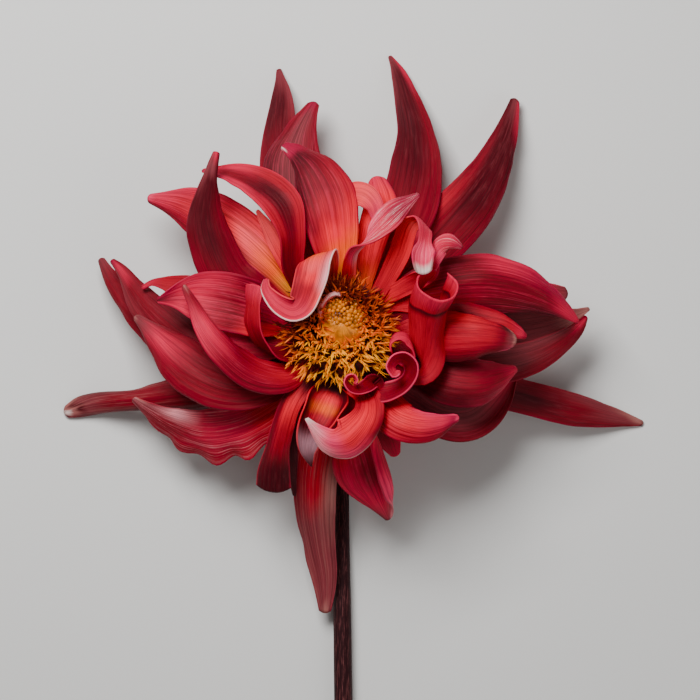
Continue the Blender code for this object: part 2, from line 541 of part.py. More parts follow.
def make_buds():
    """The golden dome of closed buds, with the small pale petaloid that curls on it."""
    buds = collection("buds")
    for i in range(BUDS):
        r = DOME_RADIUS * BUD_SPREAD * math.sqrt((i + 0.5) / BUDS)
        bm = bmesh.new()
        bmesh.ops.create_icosphere(bm, subdivisions=1, radius=BUD_RADIUS * MM)
        bmesh.ops.translate(bm, verts=bm.verts, vec=(dome_point(r, i * GOLDEN_ANGLE) + BLOOM) * MM)
        add_object("bud", bm, buds)
    thicken(add_object("petaloid", petal_blade(PETALOID), buds), PETALOID_THICKNESS)
    bm = bmesh.new()
    bmesh.ops.create_icosphere(bm, subdivisions=2, radius=1)
    for v in bm.verts:
        v.co = Vector((DOME_CENTRE[0] + v.co.x * DOME_RADIUS, DOME_CENTRE[1] + v.co.y * DOME_RADIUS,
                       DOME_BASE + v.co.z * DOME_HEIGHT))
        v.co = (v.co + BLOOM) * MM
    faces = bm.verts[:] + bm.edges[:] + bm.faces[:]
    base = Vector((0, 0, DOME_BASE * MM))
    bmesh.ops.bisect_plane(bm, geom=faces, plane_co=base, plane_no=(0, 0, 1), clear_inner=True)
    bmesh.ops.holes_fill(bm, edges=[e for e in bm.edges if e.is_boundary])
    bmesh.ops.recalc_face_normals(bm, faces=bm.faces)
    return dressed(united(add_object("disc_buds", bm), buds), "bud_gold", (0.62, 0.33, 0.03), 0.5)


def floret_places():
    """Root and direction of each open floret, in rings round the dome, leaning out more towards the rim."""
    chance = random.Random(7)
    for i in range(FLORETS):
        share = (i + 0.5) / FLORETS
        turn = i * GOLDEN_ANGLE
        out = Vector((math.cos(turn), math.sin(turn), 0))
        edge = INNER_SHARE + (1 - INNER_SHARE) * share
        middle = Vector((*DOME_CENTRE, 0)) * (1 - share)
        root = middle + out * FLORET_RING * edge
        root.z = UPPER_ROOT if edge < SHOULDER_SHARE else SIDE_ROOT
        lean = math.radians(INNER_LEAN + OUTER_LEAN * share + chance.uniform(-LEAN_VARIES, LEAN_VARIES))
        swing = chance.uniform(-0.5, 0.5)
        side = Vector((-out.y, out.x, 0))
        direction = (out + side * swing).normalized() * math.sin(lean) + Vector((0, 0, math.cos(lean)))
        yield root, direction, chance.uniform(*FLORET_LENGTHS)


def crowded(trees, root, direction, length):
    """Whether a floret of this length would come too near a petal or the dome."""
    for i in range(9):
        point = (root + direction * length * i / 8 + BLOOM) * MM
        for tree in trees:
            if tree.find_nearest(point, (FLORET_RADIUS + FLORET_ROOM) * MM)[0] is not None:
                return True
    return False


def make_florets(neighbours):
    """The core of the disc and its ring of open florets, which leave room for the petals and the dome."""
    trees = [BVHTree.FromObject(o, bpy.context.evaluated_depsgraph_get()) for o in neighbours]
    florets = collection("florets")
    for root, direction, length in floret_places():
        while length > SHORTEST_FLORET and crowded(trees, root, direction, length):
            length -= FLORET_RADIUS
        if length <= SHORTEST_FLORET:
            continue
        add_object("floret", spike(root, direction, length), florets)
    core = add_object("disc_florets", lathe(CORE_PROFILE, CORE_SIDES))
    return dressed(united(core, florets), "floret_orange", (0.55, 0.16, 0.015), 0.55)


def spike(root, direction, length):
    """One floret: a slim tube that swells a little and narrows to its lobes."""
    bm = bmesh.new()
    bmesh.ops.create_cone(bm, segments=3, radius1=FLORET_RADIUS, radius2=0.15, depth=1, cap_ends=True)
    sides = [e for e in bm.edges if abs(e.verts[0].co.z - e.verts[1].co.z) > 0.5]
    bmesh.ops.subdivide_edges(bm, edges=sides, cuts=1)
    turn = direction.to_track_quat("Z", "Y")
    for v in bm.verts:
        along = v.co.z + 0.5
        swell = 1.45 if 0.4 < along < 0.6 else 1.0
        flat = Vector((v.co.x * swell, v.co.y * swell, 0))
        v.co = (root + turn @ flat + direction * along * length + BLOOM) * MM
    return bm


def main():
    clear_scene()
    make_stem()
    make_calyx()
    petals = make_petals()
    buds = make_buds()
    make_florets([petals, buds])


main()
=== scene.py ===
"""The looks of a cut dahlia that lies face up: its petals, disc, calyx and stem as finished pieces.

Metres, +Z up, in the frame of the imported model. The bloom opens towards +Z and the stem runs along -Y.
Design numbers are in millimetres, with x and y from the middle of the disc and z from the table that the
flower lies on; BLOOM and MM turn them into the frame's metres.
"""

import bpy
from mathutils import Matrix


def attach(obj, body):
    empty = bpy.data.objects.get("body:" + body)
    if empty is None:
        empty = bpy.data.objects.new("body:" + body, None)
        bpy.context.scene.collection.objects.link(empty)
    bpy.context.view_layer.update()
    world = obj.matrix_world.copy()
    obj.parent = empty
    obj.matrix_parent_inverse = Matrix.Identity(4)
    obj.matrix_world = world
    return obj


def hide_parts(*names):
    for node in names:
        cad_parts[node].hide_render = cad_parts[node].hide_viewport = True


bl_info = {
    "name": "Cut Dahlia",
    "version": (1, 0, 0),
    "blender": (4, 5, 0),
    "location": "3D View > Sidebar > Dahlia",
    "description": "Builds the petals, disc, calyx and stem of a cut dahlia and the stage it lies on",
    "category": "Add Mesh",
}

import math
import random

import bmesh
import bpy
from mathutils import Matrix, Quaternion, Vector, noise
from mathutils.bvhtree import BVHTree

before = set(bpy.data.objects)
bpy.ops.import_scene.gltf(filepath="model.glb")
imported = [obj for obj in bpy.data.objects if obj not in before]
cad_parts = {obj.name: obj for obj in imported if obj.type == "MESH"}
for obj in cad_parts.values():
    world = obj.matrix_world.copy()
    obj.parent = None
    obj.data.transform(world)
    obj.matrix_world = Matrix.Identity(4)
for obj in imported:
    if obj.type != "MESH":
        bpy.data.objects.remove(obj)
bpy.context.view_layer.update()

MM = 0.001
BLOOM = Vector((0.0, 20.0, 0.0))  # middle of the disc, from the resting spot
GOLDEN_ANGLE = math.radians(137.508)  # turn from one floret or bud to the next
LATHE_SIDES = 64

# Petals: mesh density, and the relief of a real blade. The coarse mesh is for petals that others cover, the
# petaloid and the bracts.
PETAL_ROWS = 64
PETAL_COLUMNS = 36
COARSE_ROWS = 24
COARSE_COLUMNS = 12
SECTION_STEPS = 4  # steps of the curve across a blade, for each column of its mesh
PATH_STEPS = 480  # steps of the curve along a blade
ROOT_DEPTH = 0.72  # a petal's buried root lies this share of the way out to its first path point
ROOT_DROP = 1.2  # and this much lower
NARROWEST = 0.6  # no blade is narrower than this
TIP_BOW = 0.5  # how far a blunt tip is rounded back at its corners, as a share of its half width
RIBS = 9  # ribs across a petal
DENT_LENGTH = 15.0  # spacing of the soft dents along a petal
DENT_BREADTH = 8.0  # and across it
RIPPLE_LENGTH = 5.0  # spacing of the ripples of its margin

# The collar that the petals grow from and the core of the disc: (radius, height).
COLLAR_PROFILE = [(0.0, 24.3), (10.4, 24.3), (12.6, 26.5), (13.0, 30.0), (12.4, 33.2), (11.0, 34.6),
                  (0.0, 34.6)]
CORE_PROFILE = [(0.0, 34.9), (10.0, 34.9), (11.2, 36.4), (11.2, 38.4), (9.6, 40.0), (0.0, 40.2)]
CORE_PITS = "240604"

# The open florets of the disc.
DISC_RADIUS = 10.9
RING_START = 0.52  # where the ring of florets begins, as a share of the disc's radius
SHOULDER = 0.86  # where the core slopes down, as a share of the disc's radius
INNER_ROOTS = 39.4  # height of the roots on the core's top
OUTER_ROOTS = 37.6  # and on its shoulder
INNER_LEAN = -6  # degrees from upright at the ring's start
OUTER_LEAN = 86  # and at the rim
LEAN_SCATTER = 16
TUBE_LENGTHS = (1.6, 3.2)
SHORTEST_TUBE = 0.8
TUBE_STEP = 0.4  # how much a tube is shortened at a time until it clears the petals
LOBE_DEPTH = 0.3  # how deep the lobes start inside a floret's mouth
LOBE_REACH = 1.6  # how far the lobes reach past it
PETAL_ROOM = 0.6  # what stays free between a floret and the petals
LOBE_PROFILE = [0.5, 1.0, 0.75]  # half width of a floret's lobe from root to tip, before its point

# The dome of closed buds. The swell's edge is the line y = SWELL_EDGE - SWELL_SLANT * x.
DOME_CENTRE = (0.4, 2.6)
DOME_RADIUS = 6.2
DOME_BASE = 40.5
DOME_HEIGHT = 4.2
BUD_RADIUS = 0.6
SWELL_EDGE = 2.2
SWELL_SLANT = 0.376
SWELL_FADE = 1.6  # breadth over which the swell turns into loose beads
SWELL_FOLD = 0.05
SWELL_DROP = 0.45  # how far the swell sinks under the loose beads
SUNK_AWAY = 0.7  # buds more sunk than this are part of the swell
BUD_TILT = 0.7
BUD_SIZES = (0.7, 1.15)

# The stem from the bloom to its cut end: (x, y, z, radius).
STEM_PATH = [(0, 0.4, 18.7, 3.4), (0, 0, 15.5, 2.7), (0, -2.6, 9.6, 2.2), (0, -9, 4.7, 2.0),
             (0, -20, 1.6, 1.95), (0.2, -34, 1.9, 1.9), (0.3, -52, 2.4, 1.95), (0.4, -74, 2.9, 2.3),
             (0.8, -104, 2.9, 2.4), (1.4, -135, 2.45, 2.45)]
STEM_SIDES = 40
STEM_RINGS = 150
STEM_GROOVES = "140508"

# The green cup, (radius, height), and its bent-back bracts, (radius, height, breadth) from root to tip.
CALYX_PROFILE = [(0.0, 19.0), (4.2, 19.0), (7.6, 20.4), (9.8, 22.6), (10.2, 24.0), (0.0, 24.0)]
BRACTS = 8
BRACT_PATH = [(6.5, 21.2, 4.0), (9.6, 20.9, 5.5), (13.0, 19.2, 6.2), (15.2, 15.6, 4.2), (15.6, 12.0, 1.2)]
BRACT_CUP = [0, -15, -20]
BRACT_MARGIN = "a89a58"

# The stage. Lamps: (name, metres from the bloom, breadth in metres, share of the light's power).
TABLE_REACH = 2.5  # metres from the middle to a side
TABLE_GAP = 0.05
TABLE_COLOUR = (0.82, 0.81, 0.79, 1.0)
TABLE_ROUGHNESS = 0.7
SKY_COLOUR = (1.0, 0.98, 0.96, 1.0)
SKY_STRENGTH = 0.12
LAMPS = [("main_light", (-0.12, 0.24, 0.42), 0.24, 1.0), ("fill_light", (0.5, -0.3, 0.5), 0.6, 0.36)]
STEM_LEVEL = 3.0  # the height at which the view's breadth is measured
VIEW_SHIFT = (2.4, -4.7)  # from the middle of the disc to the middle of the view


def petal(name, path, cup=(0,), roll=(0,), fold=(0,), right_cup=None, curl=1.0, frill=None, level=False,
          bow=TIP_BOW):
    """One petal. path: (x, y, z, breadth of the flat blade) along its midrib. cup: how far each half turns
    from midrib to edge, in degrees, positive towards the inner face; right_cup where the halves differ.
    roll: turn of the blade about its midrib, positive where the inner face tilts to the right. level: roll
    is then measured from the inner face looking up, not from the root. fold: keel angle at the midrib.
    curl: over 1 keeps the turning near the edge. frill: (depth, waves, phase, side) of a wavy edge. bow: how
    far the tip's corners are rounded back. Each list runs from root to tip."""
    return dict(name=name, path=[station[:3] for station in path], width=[station[3] for station in path],
                cup=cup, right_cup=right_cup or cup, roll=roll, fold=fold, curl=curl, frill=frill,
                level=level, bow=bow)


PETALS = [
    # Back petals of the upper side.
    petal("tall", [(9, 11, 28, 5), (13, 21, 27, 11), (17.5, 32, 22.5, 14.5), (19.6, 42, 16.5, 14),
        (19.7, 51, 10.5, 10.5), (17.6, 60, 6, 7.5), (15.2, 67, 2.6, 4.5), (12.7, 71.8, 0.38, 1)],
        cup=[20, 10, -20, -25, -20, 0]),
    petal("notched", [(12.5, 8.5, 27, 5), (19, 17, 24.5, 12), (27, 26, 20, 15), (34.4, 34.6, 16, 14),
        (39.8, 43.8, 11, 10), (43.4, 53, 6.5, 6), (45.4, 60.6, 3, 2.6)], cup=[20, 10, -20, -25, -10]),
    petal("back_left", [(-6, 12, 27, 5), (-10.5, 25, 24, 11), (-14.5, 39, 18, 12.5), (-15.8, 51, 11.5, 9.5),
        (-15.3, 61, 5.5, 5.5), (-16, 68.4, 0.5, 1)], cup=[20, 0, -20, -25, -10]),
    petal("striped", [(-3.5, 13.5, 28, 5), (-8, 25, 27, 12), (-12, 36, 23, 15.5), (-12.4, 45, 18.5, 15.5),
        (-10.2, 53, 13.5, 9), (-6.8, 59.6, 9.5, 3.4)], cup=[20, 0, -20, -25, -15]),
    petal("big_top", [(-0.5, 13, 33, 5), (-1.2, 20, 37.5, 10.5), (-2.2, 28, 39.5, 14), (-3.8, 35, 39, 15.5),
        (-7, 41.3, 36.5, 12.5), (-11, 45.4, 33.5, 6.5), (-14.9, 47.4, 31.5, 2.4)],
        cup=[20, 10, -25, -30, -35, -40, 30]),
    petal("swag", [(-3, 12.5, 35, 4), (-3.8, 17.3, 40, 7), (-5, 19.8, 43.5, 9), (-6.3, 17.6, 46.5, 9.5),
        (-7.4, 12.8, 47.5, 9), (-9.4, 7.2, 47.5, 8), (-12.2, 5.3, 47.5, 7), (-15.9, 7.3, 47, 5.5),
        (-18.6, 10.6, 46, 3.2), (-18.7, 13.4, 45.5, 1)], cup=[10, 20, 20, 10, -10, -30, -50, -60, -50, -20],
        right_cup=[10, 20, 20, -20, -40, -50, -50, -50, -50, -20],
        roll=[0, 0, 0, -20, -40, -45, -40, -35, -30, -30]),
    # Left side.
    petal("dark_left", [(-12, 4, 30, 5), (-20, 8, 33, 10), (-28, 13.5, 35, 12.5), (-32, 21, 36, 12.5),
        (-34, 29, 37, 10.5), (-33.2, 38, 38, 5.5), (-31.6, 45.8, 38, 1.6)],
        cup=[10, -10, -30, -45, -60, -60]),
    petal("glow_left", [(-10.5, 8.5, 28, 5), (-17, 16.5, 29, 10.5), (-25, 24, 27.5, 13.5),
        (-33.5, 29.5, 25, 14), (-41.5, 33.2, 21, 10.5), (-49.6, 34.6, 16, 2.4)],
        cup=[20, 20, -20, -30, -40]),
    petal("sliver", [(-9.5, 10, 30, 4), (-14.5, 19, 33, 4.5), (-18.3, 26, 33, 3.5), (-21.2, 31, 31, 1)],
        cup=[20, 20]),
    petal("sweep_left", [(-9.5, 10, 32, 4.5), (-12.2, 17, 37, 6), (-12.6, 25, 40, 7.5),
        (-14.8, 32, 40.5, 10.5), (-20, 36.8, 38, 10), (-27, 39.9, 33.5, 7), (-35.4, 41, 28.5, 1.5)],
        cup=[30, 30, 30, 35, 40]),
    petal("far_left_back", [(-13, -6, 26, 5), (-28, -7, 23, 10), (-42, -2.5, 18.5, 11), (-52, 5, 14, 9),
        (-58.7, 12.5, 9.5, 5.5), (-62.6, 19, 6, 2.4)], cup=[20, -10, -30, -50]),
    petal("far_left", [(-12.5, -8.5, 28.5, 5), (-26, -9.5, 28.5, 10), (-38, -3.5, 26, 11.5),
        (-47, 3.3, 22, 11), (-52.7, 9.6, 18, 7.5), (-56.7, 15.7, 15, 3.5), (-59.2, 18.5, 14, 1)],
        cup=[20, -10, -30, -40, -50]),
    petal("broad_left", [(-11, -9.5, 31, 5), (-18, -13, 33.5, 10), (-27, -13.8, 34.5, 13),
        (-35, -11, 33, 14.5), (-42, -6, 30, 13.5), (-48, -0.2, 26.5, 7.5), (-52.8, 4, 24, 2.4)],
        cup=[10, -10, -35, -45, -50, -60]),
    petal("ridge_left", [(-9.6, -10, 33.8, 4.5), (-15, -11.4, 38.2, 9), (-22, -9.4, 41.5, 11.5),
        (-28.5, -4.3, 43.5, 10.5), (-33.5, 1.5, 43.5, 8.4), (-37, 7.5, 41.5, 4.6), (-39.8, 11.8, 40.5, 1.6)],
        cup=[10, -40, -60, -65, -60]),
    petal("trough_left", [(-12.5, 1.5, 31.5, 5), (-19, 4.5, 34.5, 13), (-27, 7, 36, 15.5),
        (-35, 8.4, 35.5, 14.5), (-41, 8.6, 34.5, 9), (-46.8, 7.8, 33.5, 1.6)], cup=[20, 20, 25, 30],
        fold=[0, 5, 12]),
    petal("hook_left", [(-12.5, 3, 29, 4.5), (-25, 8, 28.5, 7), (-36, 10.8, 26.5, 6.5), (-43, 12, 24, 5),
        (-48, 12.6, 21.5, 1.8), (-51, 11.2, 20, 1)], cup=[20, 0]),
    petal("fence_left", [(-11, -5, 34, 4.5), (-16.2, -5.4, 37.5, 6.5), (-20.4, -3.2, 40, 7.5),
        (-22.6, 1.4, 41.5, 7.5), (-22.6, 7, 42, 7), (-22, 12, 42.5, 6.5)], cup=[10, 20],
        roll=[0, 60, 105, 115, 120, 140], level=True, bow=0.2),
    # Lower side.
    petal("tube_left", [(-11.5, -10, 26, 5), (-26, -14, 21.5, 11), (-42, -16.4, 15.5, 12.5),
        (-54, -17.8, 10, 12), (-64, -18.8, 4.4, 10.5), (-72, -21, 0.5, 3)],
        cup=[10, -30, -80, -120, -120, -20]),
    petal("wavy", [(-8.5, -13, 28, 5), (-16, -20, 27, 11), (-25, -25.2, 24, 13.5), (-35, -26.8, 19, 14),
        (-44, -23.8, 16, 9.5), (-50, -20, 14.5, 4.5), (-53.6, -17.2, 14, 1.6)], cup=[10, 0, -25, -25],
        frill=(1.0, 7, 0.1, -1)),
    petal("ribbon", [(-7.4, -11.3, 34, 4.5), (-12, -17.2, 36.8, 5.5), (-14.6, -24, 35.2, 6),
        (-16.3, -30.5, 31.5, 6.5), (-17.2, -36, 27.5, 8.5), (-17.3, -41, 24, 9.2)], cup=[10, -30, -30, -20],
        bow=0.25),
    petal("ribbon_back", [(-5.5, -12, 30, 4), (-10.5, -19, 30, 5), (-12.8, -27, 27, 4),
        (-12.8, -35, 22, 3.5), (-11.9, -42.4, 16.5, 1)], cup=[0, -20]),
    petal("loop", [(2, -13, 33, 5), (6.6, -16.4, 37.5, 6.5), (7.3, -20.2, 42.5, 7.8),
        (5.3, -24.4, 45.3, 10), (1.5, -28, 46.3, 12.4), (-3.5, -27.8, 46.3, 8.4), (-8.9, -22.1, 45.5, 1.2)],
        cup=[20, 10, -20, -50, -60, -50], right_cup=[20, 0, -20, -30, -30],
        roll=[0, -10, -40, -60, -65, -60]),
    petal("bowl", [(-1, -13, 33, 5), (-3, -17.5, 35, 12), (-5, -22, 36.5, 13), (-7.4, -26.2, 37, 8.5),
        (-8.2, -30.2, 35, 5), (-7.3, -34.2, 32, 1)], cup=[20, 70, 85, 60, 20]),
    petal("longest", [(-2, -13.5, 27, 5), (-4, -24, 25, 10.5), (-6.3, -35, 20.5, 11.5), (-6.8, -45, 16, 11),
        (-5.7, -55, 11.5, 9), (-4.3, -64, 8, 6.8), (-4, -73, 5.6, 3.2)], cup=[10, -10, -30, -30, 40]),
    petal("rolled_edge", [(1.5, -13.5, 28, 5), (3.5, -23, 28, 11), (6.6, -31, 26, 18.5), (8.8, -38, 23, 19),
        (10.6, -43.5, 19.5, 11), (12.4, -48.5, 17, 1.8)], cup=[10, 80, 250, 260, 200, 40],
        right_cup=[10, -10, -30, -30], curl=1.7),
    petal("scrap", [(6, -13, 27, 4.5), (10, -22, 25, 6.5), (12.6, -28, 22.5, 6), (14.2, -32, 20, 2.5)],
        cup=[10, -10]),
    petal("horn", [(6.5, -13, 32.5, 5), (10.5, -18, 36, 9.8), (14.7, -21.6, 40.5, 11.4),
        (20, -23.2, 41, 11.4), (25.4, -22.9, 40, 9), (30.1, -21.7, 38.5, 3.4)],
        cup=[10, -40, -60, -70, -80]),
    petal("trough_right", [(10, -11.5, 28, 5), (18, -17.3, 26, 9), (25.5, -22, 24, 10.5),
        (33.5, -22.2, 22, 11.5), (39.9, -16.8, 20, 9.5), (45.3, -9.8, 18.5, 1.8)], cup=[20, 25, 30, 30],
        fold=[0, 5, 10]),
    # Right side.
    petal("far_right", [(12.5, -7.5, 26, 5), (25, -11, 23.5, 9), (38, -14.4, 18.5, 9), (50, -17.5, 13, 9),
        (61, -20.3, 8, 8.8), (70.5, -22.2, 3.6, 6), (78.7, -23.8, 0.42, 1.4)], cup=[20, -10, -25, -30]),
    petal("low_right", [(13, -4.5, 28, 5), (26, -7.6, 27, 10), (39, -8.6, 24, 10), (48.5, -6.9, 21, 8.8),
        (55.5, -3.6, 18, 7), (60.5, 0.3, 15.5, 4.4), (63.4, 4, 14, 1.2)], cup=[20, 0, -20, -20]),
    petal("shade_right", [(14, 0, 27.5, 5), (28, 0, 26, 9), (42, 0.2, 21, 10), (52, 1.8, 17.5, 8),
        (59, 4, 16, 4.6), (64.2, 5.9, 15, 0.9)], cup=[20, 10]),
    petal("flap_right", [(13.5, 5, 28, 5), (30, 8, 27, 10), (44, 9.2, 24, 8), (53, 9.8, 21, 5.8),
        (58.4, 9.8, 19, 3.4)], cup=[20, 0]),
    petal("dome_right", [(12.5, 7.5, 31.5, 5), (20, 10, 35, 12), (29, 11.8, 37, 14.5),
        (38, 12.2, 36.5, 15.5), (46.5, 10.6, 33.5, 13.8), (54, 7.4, 29.5, 8.4), (61, 2.4, 25, 1.4)],
        cup=[10, -20, -40, -45, -50]),
    petal("red_right", [(13.5, -1, 31, 5), (20, -1.1, 34.3, 12), (27, -1.2, 40, 15), (34, -1.2, 42, 14),
        (40, -1.6, 40.8, 10.6), (44.7, -2.4, 38.6, 6.2)], cup=[10, -40, -60, -65, -70], bow=0.7),
    petal("broad_right", [(13, -6.5, 29.5, 5), (21, -9.5, 31, 11), (28, -12, 34.5, 14),
        (35.5, -12.6, 34, 13.5), (41, -11.2, 31, 9), (45, -9.5, 28.5, 2)], cup=[10, -20, -40, -45]),
    petal("funnel", [(13, -6, 33, 4.5), (17.4, -9.2, 34.4, 7.5), (20.2, -9.6, 37.1, 10.5),
        (21.1, -5.7, 40.6, 14), (21.6, -0.4, 44.5, 19), (22.2, 4.4, 48, 25), (23.4, 8.2, 52, 30)],
        cup=[10, 40, 70, 95, 125, 150, 165], roll=[0, 60, 160, 180, 180], level=True, bow=0),
    # Petals under the others. Those named under_ have a coarser mesh.
    petal("under_top", [(-1, 14, 28, 5), (-2, 24, 23.5, 9), (-4, 33, 18, 6)], cup=[10, -20]),
    petal("under_left", [(-12, 7, 26, 5), (-22, 13, 22, 11), (-31, 19, 17, 5)], cup=[10, -20]),
    petal("under_broad_left", [(-11, -10, 28, 5), (-22, -17, 25, 8), (-34, -19, 19.5, 4)], cup=[10, -20]),
    petal("nest_left", [(-11.5, -1.5, 31.5, 5), (-18, -2.2, 32.5, 10), (-25, -2.2, 34, 10.5),
        (-31, -1, 34.5, 6)], cup=[10, 0]),
    petal("under_loop", [(1.5, -13.5, 31, 5), (0.5, -21, 31.5, 9.5), (1.5, -28, 29, 7)], cup=[10, 30]),
    petal("under_notched", [(10.5, 11.5, 29, 5), (16.5, 20, 28, 10), (22, 27, 25, 5)], cup=[10, 0]),
    petal("under_red", [(13.5, 2.5, 30.5, 5), (22, 2, 34, 10), (31, 1.7, 36.5, 12), (40, 0.9, 37.8, 9),
        (44.5, -0.2, 37, 4.8), (47.3, -1.4, 36, 1.2)], cup=[10, -20, -45, -55]),
    # Tight curls beside the disc.
    petal("upper_curl", [(13, -4.5, 34, 4), (16.4, -7.2, 37, 5), (18.1, -6.2, 39.8, 5.6),
        (18.2, -3.7, 41.4, 5.6), (16.5, -1.6, 42.6, 5.2), (14.3, -1.5, 43.2, 4.8), (12.8, -3.3, 43.4, 4),
        (13.2, -5.6, 43.5, 2.4)], roll=[0, -60, -70, -90, -112, -112, -95, -80], level=True),
    petal("lower_curl", [(8.8, -12.8, 34, 4), (9.6, -15.2, 37.6, 5.5), (12.4, -15.3, 39.4, 6.6),
        (15.6, -13.8, 40.6, 6.5), (17.7, -11.2, 41.4, 6), (17.9, -8.4, 42.2, 5.6), (16, -6.6, 43, 5.2),
        (13.7, -7, 43.6, 4.8), (12.6, -9.1, 44, 4.4), (13.8, -11, 44.5, 3.6), (15.3, -10.2, 44.6, 2.2)],
        roll=[0, -50, -55, -60, -65], level=True),
    petal("small_curl", [(8.2, -12.6, 34, 4), (8, -12.8, 37.5, 4), (6.6, -13.8, 40.4, 3.8),
        (4.5, -14.7, 41.6, 3.4), (2.6, -14.5, 42.2, 3.1), (1.4, -13, 42.6, 2.9), (1.9, -11.5, 42.9, 2.6),
        (3.3, -11.2, 43.1, 2.3), (4.1, -12.4, 43.4, 2), (3.5, -13.5, 43.5, 1.5)], roll=[0, 60, 65],
        level=True),
    # Curled petals of the upper right.
    petal("arch", [(3, 14, 30, 4.5), (0.5, 26, 33, 5), (0.6, 32.5, 35, 5), (3.2, 35, 37, 6),
        (6.4, 34.4, 38.5, 6.2), (8.6, 31.6, 38.5, 5), (9, 28.2, 37, 2.2)], cup=[0, -20], level=True),
    petal("tongue", [(6, 13, 30, 4.5), (8, 24, 33.5, 8), (10.4, 32.5, 35, 8.6), (8.8, 39.6, 34.5, 4.6)],
        cup=[0, -20, -30]),
    petal("twist", [(2, 13.5, 34.5, 3.5), (2.8, 19.7, 40, 4), (6.6, 23.2, 43.5, 6), (10.6, 27.2, 44.5, 7),
        (14.4, 31, 43.5, 6), (20, 34.8, 42, 1)], roll=[0, 60, 130, 170, 180], level=True),
    petal("bulb", [(10, 10.5, 34, 4), (14.5, 19, 36.5, 5.5), (17, 26.3, 39.5, 5), (19.4, 28.4, 43, 4.5),
        (21.4, 26.3, 45.5, 5), (21.2, 22.4, 46.5, 3.8), (20.7, 18.3, 48, 7.5), (21, 14.4, 47.5, 5.5)],
        cup=[0, 20, 20, 20, 10, -20, -70, -60], roll=[0, 0, 20, 90, 150, 180, 180], level=True),
    petal("claw", [(12, 9, 33.5, 4), (18.5, 12.5, 37, 5), (22.2, 15.4, 40, 6), (22.8, 18.8, 43, 6.5),
        (24.8, 22, 45, 7), (27.8, 22.6, 45.5, 6), (30.9, 21.2, 44.5, 1.4)], cup=[0, 30, 70, 80, 60],
        roll=[0, 20, 120, 170, 180], level=True),
]

PETALOID = petal("petaloid", [(-4.6, 3.4, 43, 2.2), (-4.9, 6, 43.8, 2.4), (-3.3, 8.4, 44, 2.2),
    (-1.4, 9.5, 43.6, 1.8), (0, 9.3, 43, 0.9)], roll=[60, 90, 100], level=True)


def look(middle, left=None, right=None, dust=0.3, veins=0.6, streaks=0.5, flecks=("pink", 0.0),
         fleck_start=0.1, rim=("magenta", 0.3, 0.1), left_rim=None, right_rim=None):
    """The colours of one petal. middle, left, right: colours of the palette from root to tip, each with its
    place in hundredths of the length, the first and last of which reach on to the ends; left and right are
    the margins seen from the root with the inner face up. These colours are partly the petal's own and
    partly
    painted light: painted shade and painted highlights. dust: pale mottling. veins, streaks: fine and broad
    lengthwise lines. flecks: colour and strength of pale lengthwise lines, partly real pale veins and partly
    painted highlights. fleck_start: where flecks and rims begin. rim: colour, strength and breadth of the
    very edge, on some petals a painted highlight; left_rim, right_rim: where the two edges differ."""
    return dict(middle=middle, left=left, right=right, dust=dust, veins=veins, streaks=streaks,
                flecks=flecks, fleck_start=fleck_start, rims=(left_rim or rim, right_rim or rim))


# The stops paint light as well as each petal's own colour: coral, orange and gold near the disc fading to
# wine and maroon towards the tips is partly a painted pool of light on the middle of the bloom, and the
# notes below mark painted shade and painted highlights on single petals.
USUAL_LOOK = look("0 coral, 20 scarlet, 60 crimson, 93 rose, 100 buff")

